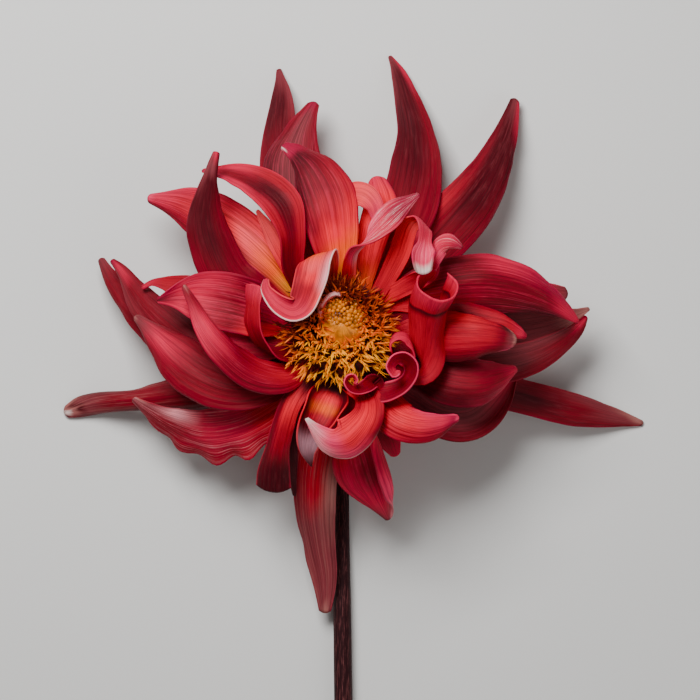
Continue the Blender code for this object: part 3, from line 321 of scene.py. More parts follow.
LOOKS = {
    "tall": look("0 coral, 14 scarlet, 30 crimson, 60 wine, 90 wine, 100 dusty",
        left="0 coral, 30 crimson, 70 wine, 100 dusty", right="80 crimson, 100 rose", dust=0.4),
    "notched": look("0 orange, 20 coral, 34 crimson, 55 wine, 85 wine, 100 dusty",
        left="0 orange, 24 coral, 45 scarlet, 70 crimson, 100 wine",
        right="0 scarlet, 35 crimson, 80 wine, 100 rose", dust=0.5),
    "back_left": look("0 wine, 50 crimson, 85 wine, 100 dusty", right="60 crimson, 100 dusty", dust=0.4),
    "striped": look("35 crimson, 55 dusty, 90 dusty, 100 magenta", left="0 crimson, 60 wine, 100 crimson",
        right="60 crimson, 100 crimson", dust=0.55, flecks=("pink", 0.25)),
    # big_top: the gold and orange at its root are partly painted light, and the pale end of its left margin
    # is a painted highlight on its curled tip.
    "big_top": look("12 gold, 24 orange, 36 coral, 50 scarlet, 65 crimson, 88 wine, 95 magenta",
        left="0 coral, 30 scarlet, 45 crimson, 70 wine, 90 wine, 96 magenta, 100 pale",
        right="16 gold, 30 orange, 45 coral, 62 scarlet, 85 crimson, 100 magenta", dust=0.15, veins=0.5,
        flecks=("pink", 0.15), rim=("magenta", 0.5, 0.1)),
    # swag: the blush band and pale rim on its right side are painted highlights, and the crimson on its left
    # side is partly painted shade inside its U.
    "swag": look("0 coral, 30 orange, 44 salmon, 52 coral, 60 scarlet, 72 rose",
        left="40 coral, 50 scarlet, 75 crimson, 90 rose, 100 magenta",
        right="0 coral, 35 salmon, 50 blush, 62 salmon, 72 rose", dust=0.05, streaks=0.7,
        left_rim=("salmon", 0.6, 0.06), right_rim=("pale", 0.7, 0.05)),
    "dark_left": look("35 crimson, 60 wine, 85 wine, 93 dusty, 100 rose",
        left="45 crimson, 75 wine, 95 dusty", right="0 scarlet, 30 crimson, 70 crimson, 100 wine", dust=0.2),
    "glow_left": look("14 gold, 26 orange, 42 salmon, 60 coral, 80 scarlet, 95 rose, 100 pink",
        left="0 orange, 12 scarlet, 25 crimson", right="20 orange, 36 coral, 60 scarlet, 90 rose, 100 pink",
        dust=0.15, veins=0.8, flecks=("pink", 0.35)),
    "sliver": look("0 orange, 40 coral, 80 salmon", dust=0.1),
    # sweep_left: the rose along its right side and rims is partly a painted highlight.
    "sweep_left": look("30 crimson, 60 wine, 85 crimson, 96 rose, 100 magenta",
        left="30 crimson, 48 scarlet, 75 rose, 95 magenta",
        right="0 crimson, 40 scarlet, 65 scarlet, 85 rose", dust=0.2, rim=("rose", 0.5, 0.1)),
    "far_left_back": look("0 wine, 60 crimson, 88 crimson, 100 dusty", dust=0.45),
    "far_left": look("85 crimson, 96 rose, 100 magenta", left="0 wine, 60 crimson, 100 dusty",
        right="50 wine, 100 crimson", dust=0.4),
    "broad_left": look("0 scarlet, 25 crimson, 60 crimson, 85 rose, 97 dusty, 100 buff",
        left="0 scarlet, 40 crimson, 80 crimson, 100 dusty",
        right="0 crimson, 40 wine, 80 crimson, 100 dusty", dust=0.35),
    # ridge_left: the rose bands along its ridge are painted highlights, partly with real pale veins.
    "ridge_left": look("0 coral, 20 scarlet, 50 crimson, 75 rose, 93 crimson, 100 buff",
        left="0 scarlet, 30 crimson, 50 crimson, 75 rose, 100 crimson",
        right="30 scarlet, 60 crimson, 100 dusty", flecks=("pink", 0.2), right_rim=("rose", 0.5, 0.1)),
    # trough_left: its pink flecks are partly a painted highlight on the lower lobe.
    "trough_left": look("0 scarlet, 25 rose, 50 crimson, 78 rose, 100 wine",
        left="0 scarlet, 25 coral, 50 crimson, 85 rose", right="45 crimson, 70 rose, 100 magenta",
        flecks=("pink", 0.25), rim=("magenta", 0.4, 0.08)),
    "hook_left": look("60 crimson, 85 scarlet, 100 rose", dust=0.4),
    "fence_left": look("50 crimson, 80 scarlet, 100 rose", dust=0.1, rim=("rose", 0.5, 0.08)),
    "tube_left": look("82 crimson, 92 dusty, 95 wine, 98 buff, 100 pale",
        left="0 crimson, 70 wine, 100 dusty", right="60 crimson, 90 wine, 100 buff", dust=0.45,
        flecks=("buff", 0.4), fleck_start=0.4),
    # wavy: the rose and blush along its right, upper margin are partly a painted highlight.
    "wavy": look("25 coral, 50 rose, 80 crimson, 100 dusty",
        left="0 crimson, 30 scarlet, 60 crimson, 90 crimson, 100 dusty",
        right="0 scarlet, 25 coral, 50 rose, 62 rose, 80 blush, 93 dusty, 100 buff", dust=0.35,
        flecks=("blush", 0.35), rim=("rose", 0.4, 0.08)),
    "ribbon": look("0 maroon, 15 wine, 35 coral, 55 scarlet, 85 wine", right="50 crimson, 100 wine",
        dust=0.25, rim=("rose", 0.5, 0.1)),
    "ribbon_back": look("0 crimson, 50 wine", dust=0.4),
    # loop: its pink flecks are partly painted highlights.
    "loop": look("25 scarlet, 50 coral, 65 coral, 78 pink, 92 blush, 100 pale",
        left="0 crimson, 30 scarlet, 52 crimson, 62 rose, 70 pink, 82 blush, 100 pink",
        right="0 coral, 40 scarlet, 60 coral, 78 coral, 90 pink, 100 pale", dust=0.05,
        flecks=("pink", 0.25), fleck_start=0.45, rim=("pink", 0.2, 0.06), left_rim=("pale", 0.7, 0.07)),
    "bowl": look("22 maroon, 33 coral, 42 orange, 50 scarlet, 60 wine, 75 lilac, 100 wine",
        left="0 maroon, 35 wine, 60 crimson, 75 lilac, 100 wine",
        right="0 maroon, 40 wine, 60 wine, 75 lilac, 100 wine", dust=0.15, rim=("coral", 0.7, 0.07)),
    "longest": look("0 coral, 30 scarlet, 50 scarlet, 66 dusty, 93 dusty, 100 buff",
        left="30 scarlet, 45 buff, 80 dusty", right="40 scarlet, 65 dusty", dust=0.5, flecks=("buff", 0.35)),
    "rolled_edge": look("35 scarlet, 60 crimson, 85 rose, 100 dusty",
        left="0 scarlet, 30 coral, 55 rose, 80 pink, 100 blush",
        right="0 crimson, 50 scarlet, 80 rose, 100 dusty", flecks=("pink", 0.2)),
    "scrap": look("70 crimson, 100 rose", rim=("rose", 0.4, 0.08)),
    "horn": look("30 scarlet, 60 coral, 85 rose, 95 magenta, 100 pink", left="0 scarlet, 50 coral, 80 pink",
        right="0 crimson, 50 scarlet, 100 crimson", dust=0.1, flecks=("pink", 0.15)),
    "trough_right": look("40 wine, 65 dusty, 100 rose", left="0 wine, 40 dusty, 90 dusty, 100 rose",
        right="0 wine, 100 crimson", dust=0.5, flecks=("pink", 0.1), rim=("crimson", 0.6, 0.12)),
    # far_right: the dusty band along its middle is partly a painted highlight on its folded ridge.
    "far_right": look("0 wine, 30 crimson, 60 wine, 75 crimson, 93 dusty, 100 buff",
        left="60 crimson, 85 dusty, 100 buff", right="0 maroon, 40 crimson", dust=0.5,
        right_rim=("magenta", 0.8, 0.1)),
    # low_right: the dusty on its left, upper strip is partly a painted highlight.
    "low_right": look("40 crimson, 60 dusty, 85 crimson, 100 rose",
        left="0 wine, 50 dusty, 90 dusty, 100 rose", right="0 crimson, 100 crimson", dust=0.5,
        rim=("rose", 0.3, 0.08)),
    "shade_right": look("50 wine, 80 dusty, 100 buff", dust=0.5, rim=("rose", 0.3, 0.08)),
    "flap_right": look("60 crimson, 82 rose, 100 dusty", dust=0.5, rim=("pink", 0.5, 0.1)),
    "dome_right": look("0 coral, 18 scarlet, 40 crimson, 80 crimson, 92 rose",
        left="0 scarlet, 25 wine, 45 crimson, 60 rose, 85 magenta, 100 rose",
        right="0 coral, 30 scarlet, 55 crimson, 90 wine, 100 rose", dust=0.25, flecks=("pink", 0.25),
        left_rim=("magenta", 0.4, 0.1)),
    "red_right": look("80 scarlet, 90 crimson, 96 dusty, 100 buff",
        left="30 scarlet, 60 coral, 85 scarlet, 95 maroon, 100 buff", right="90 crimson, 100 pink",
        dust=0.1),
    # broad_right: the maroon and wine on its sides are painted shade where the petals beside it shadow it.
    "broad_right": look("85 crimson, 100 rose", left="0 maroon, 50 wine, 100 rose",
        right="60 wine, 100 rose", dust=0.15),
    "funnel": look("0 crimson, 50 scarlet, 80 scarlet, 86.5 wine, 88 scarlet, 100 rose", dust=0.05,
        veins=0.25, streaks=0.3, rim=("scarlet", 0.3, 0.05)),
    # The pink and rose rims of the three curls are partly painted highlights along their rolled edges.
    "upper_curl": look("0 wine, 30 crimson, 60 rose", dust=0.05, veins=0.3, rim=("rose", 0.6, 0.12)),
    "lower_curl": look("60 crimson, 100 rose", dust=0.05, veins=0.4, rim=("pink", 0.8, 0.12),
        left_rim=("pink", 0.9, 0.2)),
    "small_curl": look("0 wine, 30 crimson, 60 crimson, 100 rose", dust=0.05, veins=0.3,
        rim=("pink", 0.8, 0.14)),
    "arch": look("0 orange, 30 coral, 60 coral, 80 salmon, 100 pink", dust=0.1, flecks=("pink", 0.2)),
    "tongue": look("0 orange, 40 coral, 75 coral, 100 rose", dust=0.1, flecks=("pink", 0.3),
        rim=("magenta", 0.6, 0.15)),
    # twist: its pale flecks are painted highlights, white glints on the pink.
    "twist": look("0 scarlet, 20 coral, 34 pink, 50 pink, 65 rose, 80 magenta",
        left="0 scarlet, 25 coral, 40 rose, 70 rose, 85 magenta",
        right="0 scarlet, 20 salmon, 32 blush, 50 pink, 65 pink, 80 rose, 90 magenta", dust=0.0,
        flecks=("pale", 0.55), fleck_start=0.3, rim=("rose", 0.2, 0.06)),
    # bulb: its pale end and pale flecks are painted highlights on the rolled bulge.
    "bulb": look("0 scarlet, 45 coral, 58 salmon, 66 rose, 78 rose, 86 pink, 93 pink, 98 pale", dust=0.0,
        flecks=("pale", 0.25), fleck_start=0.6, rim=("magenta", 0.5, 0.1)),
    # claw: its pale flecks are painted highlights, white glints on the pink.
    "claw": look("0 coral, 40 scarlet, 55 rose, 70 pink, 85 rose, 100 magenta", dust=0.0,
        flecks=("pale", 0.35), fleck_start=0.55, rim=("magenta", 0.5, 0.1)),
    "under_red": look("50 crimson, 85 scarlet, 100 rose", dust=0.05, rim=("rose", 0.4, 0.08)),
    "petaloid": look("0 orange, 50 salmon, 100 blush", dust=0.0, veins=0.2, streaks=0.1,
        flecks=("pale", 0.3), rim=("pale", 0.4, 0.12)),
}

# The colours that the petals are painted with.
PALETTE = {
    "crimson": "84001c", "scarlet": "b80626", "coral": "ff1832", "salmon": "ff444c", "orange": "ff5810",
    "gold": "ff9818", "wine": "500010", "maroon": "300008", "magenta": "a80038", "rose": "dc1844",
    "dusty": "84323a", "buff": "b06c66", "pink": "ff3868", "blush": "ff9ca4", "lilac": "b8808c",
    "pale": "ffe0d8",
}


def linear(value):
    """A display value from 0 to 1 as an amount of light."""
    return value / 12.92 if value < 0.04045 else ((value + 0.055) / 1.055) ** 2.4


def tint(code):
    """The colour of a hex code such as "84001c"."""
    return tuple(linear(int(code[i:i + 2], 16) / 255) for i in (0, 2, 4))


def colour_setting(name, code):
    """A colour that the user can change in the panel."""
    return bpy.props.FloatVectorProperty(name=name.capitalize(), description=f"The {name} of the flower",
                                         subtype="COLOR", size=3, min=0.0, max=1.0, default=tint(code))


def count_setting(name, description, number):
    """A count that the user can change in the panel."""
    return bpy.props.IntProperty(name=name, description=description, default=number, min=1)


def length_setting(name, description, millimetres):
    """A length that the user can change in the panel."""
    return bpy.props.FloatProperty(name=name, description=description, default=millimetres * MM,
                                   min=0.0, unit="LENGTH", subtype="DISTANCE")


class PetalColours(bpy.types.PropertyGroup):
    """The palette that the petals are painted from."""

    __annotations__ = {name: colour_setting(name, code) for name, code in PALETTE.items()}


class PetalSettings(bpy.types.PropertyGroup):
    """The relief of the petals."""

    thickness: length_setting("Thickness", "Thickness of a petal", 0.42)
    rib_depth: length_setting("Rib depth", "Height of the ribs that run along a petal", 0.16)
    dent_depth: length_setting("Dent depth", "Height of the soft dents in a petal", 0.55)
    ripple_depth: length_setting("Ripple depth", "Height of the ripples of a petal's margin", 0.5)


class DiscSettings(bpy.types.PropertyGroup):
    """The middle of the bloom."""

    florets: count_setting("Florets", "Open florets of the disc", 520)
    floret_radius: length_setting("Floret radius", "Radius of an open floret's tube", 0.26)
    lobe_length: length_setting("Lobe length", "Length of a floret's pointed lobes", 3.1)
    lobe_width: length_setting("Lobe width", "Breadth of a floret's pointed lobes", 0.46)
    floret_light: colour_setting("lightest florets", "ffaa00")
    floret_middle: colour_setting("middle florets", "ff8410")
    floret_dark: colour_setting("rust florets", "e85e14")
    # The dark red painted as shade at the floret roots and where the buds sink; the hidden core uses it too.
    floret_shade: colour_setting("floret roots", "660e08")
    buds: count_setting("Buds", "Closed buds of the dome", 120)
    petaloid_thickness: length_setting("Petaloid thickness", "Thickness of the petaloid on the dome", 1.1)
    bud_colour: colour_setting("buds", "f69000")
    bud_shade: colour_setting("bud shade", "8a4404")


class StemSettings(bpy.types.PropertyGroup):
    """The stem and the green parts."""

    ridge_depth: length_setting("Ridge depth", "Height of the ridges along the stem", 0.05)
    bract_thickness: length_setting("Bract thickness", "Thickness of a bract", 0.6)
    skin: colour_setting("stem skin", "2a080e")
    streak: colour_setting("stem streaks", "8c4c4c")
    green: colour_setting("bracts", "5a6a26")


class StageSettings(bpy.types.PropertyGroup):
    """The table, the light and the camera."""

    view_height: length_setting("View height", "Height of the camera over the table", 1600.0)
    view_width: length_setting("View width", "Breadth that the camera takes in at the stem's level", 182.0)
    light_power: bpy.props.FloatProperty(name="Light power", description="Power of the main light",
                                         default=3.2, min=0.0, unit="POWER")


# ---- Shaders ----

class Amount:
    """A number that varies over a surface, written on as a plain expression."""

    def __init__(self, finish, socket):
        self.finish = finish
        self.socket = socket

    def __add__(self, other):
        return self.finish.maths("ADD", self, other)

    def __sub__(self, other):
        return self.finish.maths("SUBTRACT", self, other)

    def __rsub__(self, other):
        return self.finish.maths("SUBTRACT", other, self)

    def __mul__(self, other):
        return self.finish.maths("MULTIPLY", self, other)

    __radd__ = __add__
    __rmul__ = __mul__

    def size(self):
        """How far from zero."""
        return self.finish.maths("ABSOLUTE", self)

    def rise(self, start, end):
        """0 up to start, 1 from end on, and smooth between."""
        return Amount(self.finish, self.finish.node(
            "ShaderNodeMapRange", {"interpolation_type": "SMOOTHSTEP"},
            {"Value": self, "From Min": start, "From Max": end}).outputs["Result"])


class Finish:
    """One material and the nodes that paint it."""

    def __init__(self, name, **constants):
        self.material = bpy.data.materials.new(name)
        self.material.use_nodes = True
        self.tree = self.material.node_tree
        self.shader = self.tree.nodes["Principled BSDF"]
        for socket, value in constants.items():
            self.shader.inputs[socket.replace("_", " ")].default_value = value

    def node(self, kind, settings=None, sockets=None):
        """A node with its settings, and a value or a link in each named socket."""
        made = self.tree.nodes.new(kind)
        for name, value in (settings or {}).items():
            setattr(made, name, value)
        for name, value in (sockets or {}).items():
            self.plug(made.inputs[name], value)
        return made

    def plug(self, socket, value):
        """Puts a number, a colour, an amount or a link into a socket."""
        if isinstance(value, Amount):
            value = value.socket
        if isinstance(value, bpy.types.NodeSocket):
            self.tree.links.new(value, socket)
        elif socket.type == "RGBA":
            socket.default_value = (*value, 1.0)
        else:
            socket.default_value = value

    def maths(self, operation, *values):
        """The result of a Math node."""
        made = self.node("ShaderNodeMath", {"operation": operation}, dict(enumerate(values)))
        return Amount(self, made.outputs[0])

    def parts(self, vector):
        """The three amounts that a vector holds."""
        made = self.node("ShaderNodeSeparateXYZ", None, {0: vector})
        return [Amount(self, made.outputs[axis]) for axis in "XYZ"]

    def place(self):
        """The place in the flower."""
        return self.node("ShaderNodeTexCoord").outputs["Object"]

    def kept(self, name):
        """The three amounts that a mesh keeps as an attribute."""
        return self.parts(self.node("ShaderNodeAttribute", {"attribute_name": name}).outputs["Vector"])

    def across_and_along(self):
        """The place on a petal: across it from -1 to 1, and along it from 0 to 1."""
        across, along, _ = self.parts(self.node("ShaderNodeUVMap").outputs["UV"])
        return across * 2.0 - 1.0, along

    def blend(self, share, first, second):
        """The first colour, turning into the second as share goes from 0 to 1."""
        made = self.node("ShaderNodeMix", {"data_type": "RGBA"}, {0: share, 6: first, 7: second})
        return made.outputs[2]

    def scaled(self, colour, amount):
        """A colour made darker or brighter."""
        made = self.node("ShaderNodeVectorMath", {"operation": "SCALE"}, {0: colour, "Scale": amount})
        return made.outputs[0]

    def ramp(self, amount, stops):
        """A colour that follows amount through (place, colour) stops."""
        made = self.node("ShaderNodeValToRGB", None, {"Fac": amount})
        stretch = made.color_ramp
        stretch.interpolation = "EASE"
        while len(stretch.elements) < len(stops):
            stretch.elements.new(1.0)
        for element, (place, colour) in zip(stretch.elements, stops):
            element.position = place
            element.color = (*colour, 1.0)
        return made.outputs["Color"]

    def noise(self, place, detail=2.0, roughness=0.5, scale=1.0):
        """Soft random values from about 0.2 to 0.8 over a place, or over a tuple of three amounts."""
        if isinstance(place, tuple):
            place = self.node("ShaderNodeCombineXYZ", None, dict(enumerate(place))).outputs[0]
        made = self.node("ShaderNodeTexNoise", None, {"Vector": place, "Scale": scale, "Detail": detail,
                                                      "Roughness": roughness})
        return Amount(self, made.outputs["Fac"])

    def bump(self, height, distance, strength=0.5):
        """Lets the surface stand out by height times distance."""
        made = self.node("ShaderNodeBump", None, {"Height": height, "Distance": distance,
                                                  "Strength": strength})
        self.plug(self.shader.inputs["Normal"], made.outputs["Normal"])

    def paint(self, colour, roughness):
        """Sets what varies over the surface."""
        self.plug(self.shader.inputs["Base Color"], colour)
        self.plug(self.shader.inputs["Roughness"], roughness)
        return self.material

    def glow(self, colour):
        """Sets the colour of a painted glow: the surface shines as if lit, though it is no lamp."""
        self.plug(self.shader.inputs["Emission Color"], colour)


def petal_finish(name, colours):
    """The velvety skin of one petal, painted by its own length (along) and breadth (across)."""
    chosen = LOOKS.get(name, USUAL_LOOK)
    skin = Finish("petal_" + name, Specular_IOR_Level=0.14, Subsurface_Weight=0.08, Subsurface_Scale=0.0012)
    across, along = skin.across_and_along()
    seed = sum(map(ord, name)) % 97 * 1.7
    wander = skin.noise((across * 1.3, along * 4.0, seed)) - 0.5
    here = along + wander * 0.12

    def band(stops):
        places = (stop.split() for stop in stops.split(", "))
        return skin.ramp(here, [(float(at) / 100, colours[key]) for at, key in places])

    colour = band(chosen["middle"])
    for side, stops in ((-1.0, chosen["left"]), (1.0, chosen["right"])):
        if stops:
            colour = skin.blend((across * side + wander * 0.5).rise(0.1, 0.85), colour, band(stops))

    broad = skin.noise((across * 4.5, along * 1.1, seed + 3.0), 3.0, 0.6)
    fine = skin.noise((across * 22.0, along * 1.4, seed + 7.0), 2.0, 0.6)
    hair = skin.noise((across * 60.0, along * 9.0, seed + 17.0), 2.0, 0.7)
    blotch = skin.noise((across * 6.0, along * 11.0, seed + 11.0), 4.0, 0.65)
    light = (broad - 0.5) * (chosen["streaks"] * 1.6) + (hair - 0.5) * 1.1 + 1.0
    colour = skin.scaled(colour, light - (1.0 - fine).rise(0.48, 0.62) * (chosen["veins"] * 0.5))

    # Flecks are pale lengthwise lines: partly real pale veins, and partly painted highlights where the
    # velvet and its ridges catch the light.
    begun = along.rise(chosen["fleck_start"], chosen["fleck_start"] + 0.3)
    hue, strength = chosen["flecks"]
    if strength:
        fleck = fine.rise(0.5, 0.66) * (0.3 + blotch.rise(0.4, 0.65)) * begun
        colour = skin.blend(fleck * strength, colour, colours[hue])
    dust = blotch.rise(0.46, 0.7) * (0.25 + hair.rise(0.4, 0.65)) * along.rise(0.15, 0.8) * chosen["dust"]
    colour = skin.blend(dust, colour, colours["dusty"])
    # Rims: the colour of the very edges, on some petals a painted highlight along the edge.
    for side, (hue, strength, breadth) in zip((-1.0, 1.0), chosen["rims"]):
        edge = (across * side + (wander + blotch * 0.6 - 0.3) * breadth).rise(1.0 - breadth * 1.3, 1.0)
        colour = skin.blend(edge * begun * strength, colour, colours[hue])

    skin.bump(fine * 0.5 + hair * 0.5 + blotch * 0.2, 0.3 * MM)
    return skin.paint(colour, 0.45 + dust * 0.25 + fine * 0.12)


def lower_side_of(skin, place):
    """1 on the side of the disc that is nearest to the stem, 0 on the far side, uneven between."""
    patches = skin.noise(place, 3.0, 0.6, 420.0)
    return (BLOOM.y * MM - skin.parts(place)[1] + (patches - 0.5) * (16 * MM)).rise(-7 * MM, 6 * MM)


def floret_finish(settings):
    """Golden tips on the lower side, rust ones on the upper side, painted shade in dark red at the roots,
    and a painted glow.
    """
    skin = Finish("floret_skin", Specular_IOR_Level=0.2, Subsurface_Weight=0.1, Subsurface_Scale=0.0005,
                  Emission_Strength=0.08)
    place = skin.place()
    tone, along, _ = skin.kept("floret")
    grain = skin.noise(place, 2.0, 0.6, 2600.0)
    lower = lower_side_of(skin, place)
    far_left = (skin.parts(place)[0] * -1.0).rise(6 * MM, 14 * MM)
    colour = skin.ramp(lower * 0.7 + tone * 0.5 - 0.12 - far_left * 0.4,
                       [(0.0, settings.floret_shade), (0.3, settings.floret_dark),
                        (0.58, settings.floret_middle), (0.9, settings.floret_light)])
    # Painted shade: the roots deep among the crowded florets are painted in the dark root colour.
    colour = skin.blend(along.rise(0.3, 0.75), settings.floret_shade, colour)
    # Painted glow from the small emission, stronger on the lower side of the disc, as if more light fell
    # there.
    skin.glow(skin.scaled(colour, lower * 0.7 + 0.3))
    skin.bump(grain, 0.08 * MM, 0.4)
    return skin.paint(colour, 0.45 + grain * 0.2)


def bud_finish(settings):
    """Glossy golden skin, browner in patches and streaks, with painted shade where the buds sink between
    their neighbours and a faint painted glow.
    """
    skin = Finish("bud_skin", Specular_IOR_Level=0.35, Subsurface_Weight=0.15, Subsurface_Scale=0.0008,
                  Emission_Strength=0.05)
    tone, along, turn = skin.kept("floret")
    streaks = skin.noise((turn * 34.0, along * 2.0, 0.0), 3.0, 0.7)
    patches = skin.noise(skin.place(), 3.0, 0.6, 500.0)
    colour = skin.blend(tone * 0.6 + patches.rise(0.4, 0.7) * 0.5, settings.bud_colour, settings.bud_shade)
    colour = skin.blend(streaks.rise(0.45, 0.7) * 0.5, colour, settings.bud_shade)
    # Painted shade: dark where the buds sink between their neighbours.
    colour = skin.blend(along.rise(0.0, 0.6), settings.floret_shade, colour)
    # Painted glow: the buds shine a little, as if lit.
    skin.glow(colour)
    skin.bump(streaks, 0.25 * MM)
    return skin.paint(colour, 0.22 + streaks * 0.25)


def stem_finish(settings):
    """Dark maroon skin with fine pale lengthwise flecks."""
    skin = Finish("stem_skin", Specular_IOR_Level=0.15)
    x, y, at = skin.kept("shaft")
    flecks = skin.noise((x * 9.0, y * 9.0, at * 55.0), 4.0, 0.7)
    lines = skin.noise((x * 11.0, y * 11.0, at * 5.0))
    colour = skin.blend(flecks.rise(0.5, 0.66) * 0.6, settings.skin, settings.streak)
    colour = skin.blend(lines.rise(0.55, 0.7) * 0.5, colour, tint(STEM_GROOVES))
    skin.bump(flecks * 0.5 + lines, 0.15 * MM, 0.6)
    return skin.paint(colour, 0.5 + flecks * 0.2)


def leaf_finish(name, colour, edge):
    """Matt green skin with fine lengthwise veins and a paler margin."""
    skin = Finish(name, Specular_IOR_Level=0.35, Subsurface_Weight=0.08, Subsurface_Scale=0.001)
    across, along = skin.across_and_along()
    veins = skin.noise((across * 8.0, along * 1.5, 0.0), 3.0, 0.6)
    spots = skin.noise((across * 4.0, along * 6.0, 5.0), 4.0, 0.6)
    painted = skin.blend(veins.rise(0.45, 0.7) * 0.5, colour, [c * 0.45 for c in colour])
    painted = skin.blend(spots.rise(0.5, 0.75) * 0.35, painted, edge)
    painted = skin.blend(across.size().rise(0.7, 1.0) * 0.5, painted, edge)
    skin.bump(veins, 0.2 * MM)
    return skin.paint(painted, 0.5 + veins * 0.15)


def body_finish(name, colour, dark, scale):
    """Plain mottled tissue for the parts that the petals hide."""
    skin = Finish(name, Specular_IOR_Level=0.3)
    patches = skin.noise(skin.place(), 4.0, 0.6, scale)
    skin.bump(patches, 0.3 * MM)
    return skin.paint(skin.blend(patches.rise(0.35, 0.7), dark, colour), 0.55 + patches * 0.2)


# ---- Petals ----

def smooth_between(points, at):
    """A smooth curve through evenly spaced keys or points, read at 0 to 1."""
    last = len(points) - 1
    if last == 0:
        return points[0]
    place = min(max(at, 0.0), 1.0) * last
    i = min(int(place), last - 1)
    f = place - i
    start = points[i]
    end = points[i + 1]
    leave = (end - points[max(i - 1, 0)]) * 0.5
    arrive = (points[min(i + 2, last)] - start) * 0.5
    return (start * (2 * f**3 - 3 * f**2 + 1) + leave * (f**3 - 2 * f**2 + f)
            + end * (3 * f**2 - 2 * f**3) + arrive * (f**3 - f**2))


def midrib(path, level):
    """Stations along a petal, (share of its length, place in its key lists, point, direction, normal), and
    its length."""
    points = [Vector(p) for p in path]
    root = Vector((points[0].x * ROOT_DEPTH, points[0].y * ROOT_DEPTH, points[0].z - ROOT_DROP))
    points.insert(0, root)
    line = [smooth_between(points, i / PATH_STEPS) for i in range(PATH_STEPS + 1)]
    run = [0.0]
    for a, b in zip(line, line[1:]):
        run.append(run[-1] + (b - a).length)
    normal = Vector((0, 0, 1)) - Vector((root.x, root.y, 0)).normalized()
    stations = []
    for i, point in enumerate(line):
        ahead = (line[min(i + 1, PATH_STEPS)] - line[max(i - 1, 0)]).normalized()
        if level:
            normal = Vector((0, 0, 1))
        normal = (normal - ahead * normal.dot(ahead)).normalized()
        place = (i / PATH_STEPS * (len(points) - 1) - 1) / (len(path) - 1)
        stations.append((run[i] / run[-1], max(place, 0.0), point, ahead, normal.copy()))
    return stations, run[-1]


def half_section(fold, cup, curl, columns):
    """Points of a half blade from midrib to edge: (sideways, up, angle), with a breadth of 1 along it."""
    side = 0.0
    up = 0.0
    section = [(0.0, 0.0, fold)]
    for column in range(columns):
        for step in range(SECTION_STEPS):
            v = (column + (step + 0.5) / SECTION_STEPS) / columns
            angle = fold + cup * v**curl
            side += math.cos(angle) / (columns * SECTION_STEPS)
            up += math.sin(angle) / (columns * SECTION_STEPS)
        section.append((side, up, angle))
    return section


def relief(settings, s, share, half, length, seed):
    """How far a blade stands out of its smooth form, in mm: ribs, soft dents and a rippled margin."""
    wander = noise.noise((s * 2.0, share * 3.0, seed + 5.0))
    rib = abs(math.cos(math.pi * RIBS / 2 * (s + wander * 0.12))) - 0.6
    strength = 0.6 + noise.noise((s * 3.0, share * 1.5, seed + 9.0)) - 0.4 * share**3
    dent = noise.noise((s * half / DENT_BREADTH * 2, share * length / DENT_LENGTH, seed))
    margin = noise.noise((1.0 if s > 0 else -1.0, share * length / RIPPLE_LENGTH, seed + 2.0))
    depth = settings.rib_depth * rib * strength * min(half / 5.0, 1.0)
    depth += settings.dent_depth * dent + settings.ripple_depth * margin * s**4
    return depth * min(share * 5.0, 1.0) / MM


def shape_petal(bm, p, settings, rows, columns):
    """Bends a flat grid of the petal's (across, along) coordinates into its blade."""
    stations, length = midrib(p["path"], p["level"])
    seed = sum(map(ord, p["name"])) * 0.37
    lines = {}
    for v in bm.verts:
        lines.setdefault(round((v.co.y + 1) / 2 * rows), []).append(v)
    at = 0
    for row in sorted(lines):
        share = row / rows
        while at < PATH_STEPS and stations[at][0] < share:
            at += 1
        _, place, point, ahead, normal = stations[at]
        inner = Matrix.Rotation(math.radians(smooth_between(p["roll"], place)), 3, ahead) @ normal
        right = ahead.cross(inner)
        half = max(smooth_between(p["width"], place), NARROWEST) / 2
        fold = math.radians(smooth_between(p["fold"], place))
        sections = {hand: half_section(fold, math.radians(smooth_between(p[key], place)), p["curl"],
                                       columns // 2) for hand, key in ((-1, "cup"), (1, "right_cup"))}
        for v in lines[row]:
            s = v.co.x
            u = abs(s)
            hand = 1 if s > 0 else -1
            side, up, angle = sections[hand][round(u * columns / 2)]
            spot = point - ahead * p["bow"] * half * u**2 * share**6
            if p["frill"] and s * p["frill"][3] > 0:
                depth, waves, phase, _ = p["frill"]
                fade = u**2 * math.sin(math.pi * share) ** 2
                ripple = depth * fade * math.sin(2 * math.pi * (waves * share + phase))
                side += ripple / half
                up += ripple / half
            face = inner * math.cos(angle) - right * hand * math.sin(angle)
            spot = spot + right * side * half * hand + inner * up * half
            spot += face * relief(settings, s, share, half, length, seed)
            v.co = (spot + BLOOM) * MM


# ---- Building pieces ----

def add_object(name, bm, material):
    """An object in the scene whose mesh is a finished bmesh."""
    mesh = bpy.data.meshes.new(name)
    bm.to_mesh(mesh)
    bm.free()
    mesh.materials.append(material)
    obj = bpy.data.objects.new(name, mesh)
    bpy.context.scene.collection.objects.link(obj)
    return obj


def add_piece(name, bm, material, node):
    """A finished piece of the flower that stands for a node of the model."""
    obj = add_object(name, bm, material)
    obj.data.shade_smooth()
    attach(obj, "root")
    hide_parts(node)
    return obj


def add_blade(name, p, material, node, thickness, rows=COARSE_ROWS, columns=COARSE_COLUMNS):
    """A petal or bract: a sheet with a UV map of across and along, and a wall half on each side of it."""
    bm = bmesh.new()
    bm.loops.layers.uv.new("UVMap")
    bmesh.ops.create_grid(bm, x_segments=columns, y_segments=rows, size=1, calc_uvs=True)
    shape_petal(bm, p, bpy.context.scene.dahlia_petals, rows, columns)
    wall = add_piece(name, bm, material, node).modifiers.new("thickness", "SOLIDIFY")
    wall.thickness = thickness
    wall.offset = 0.0


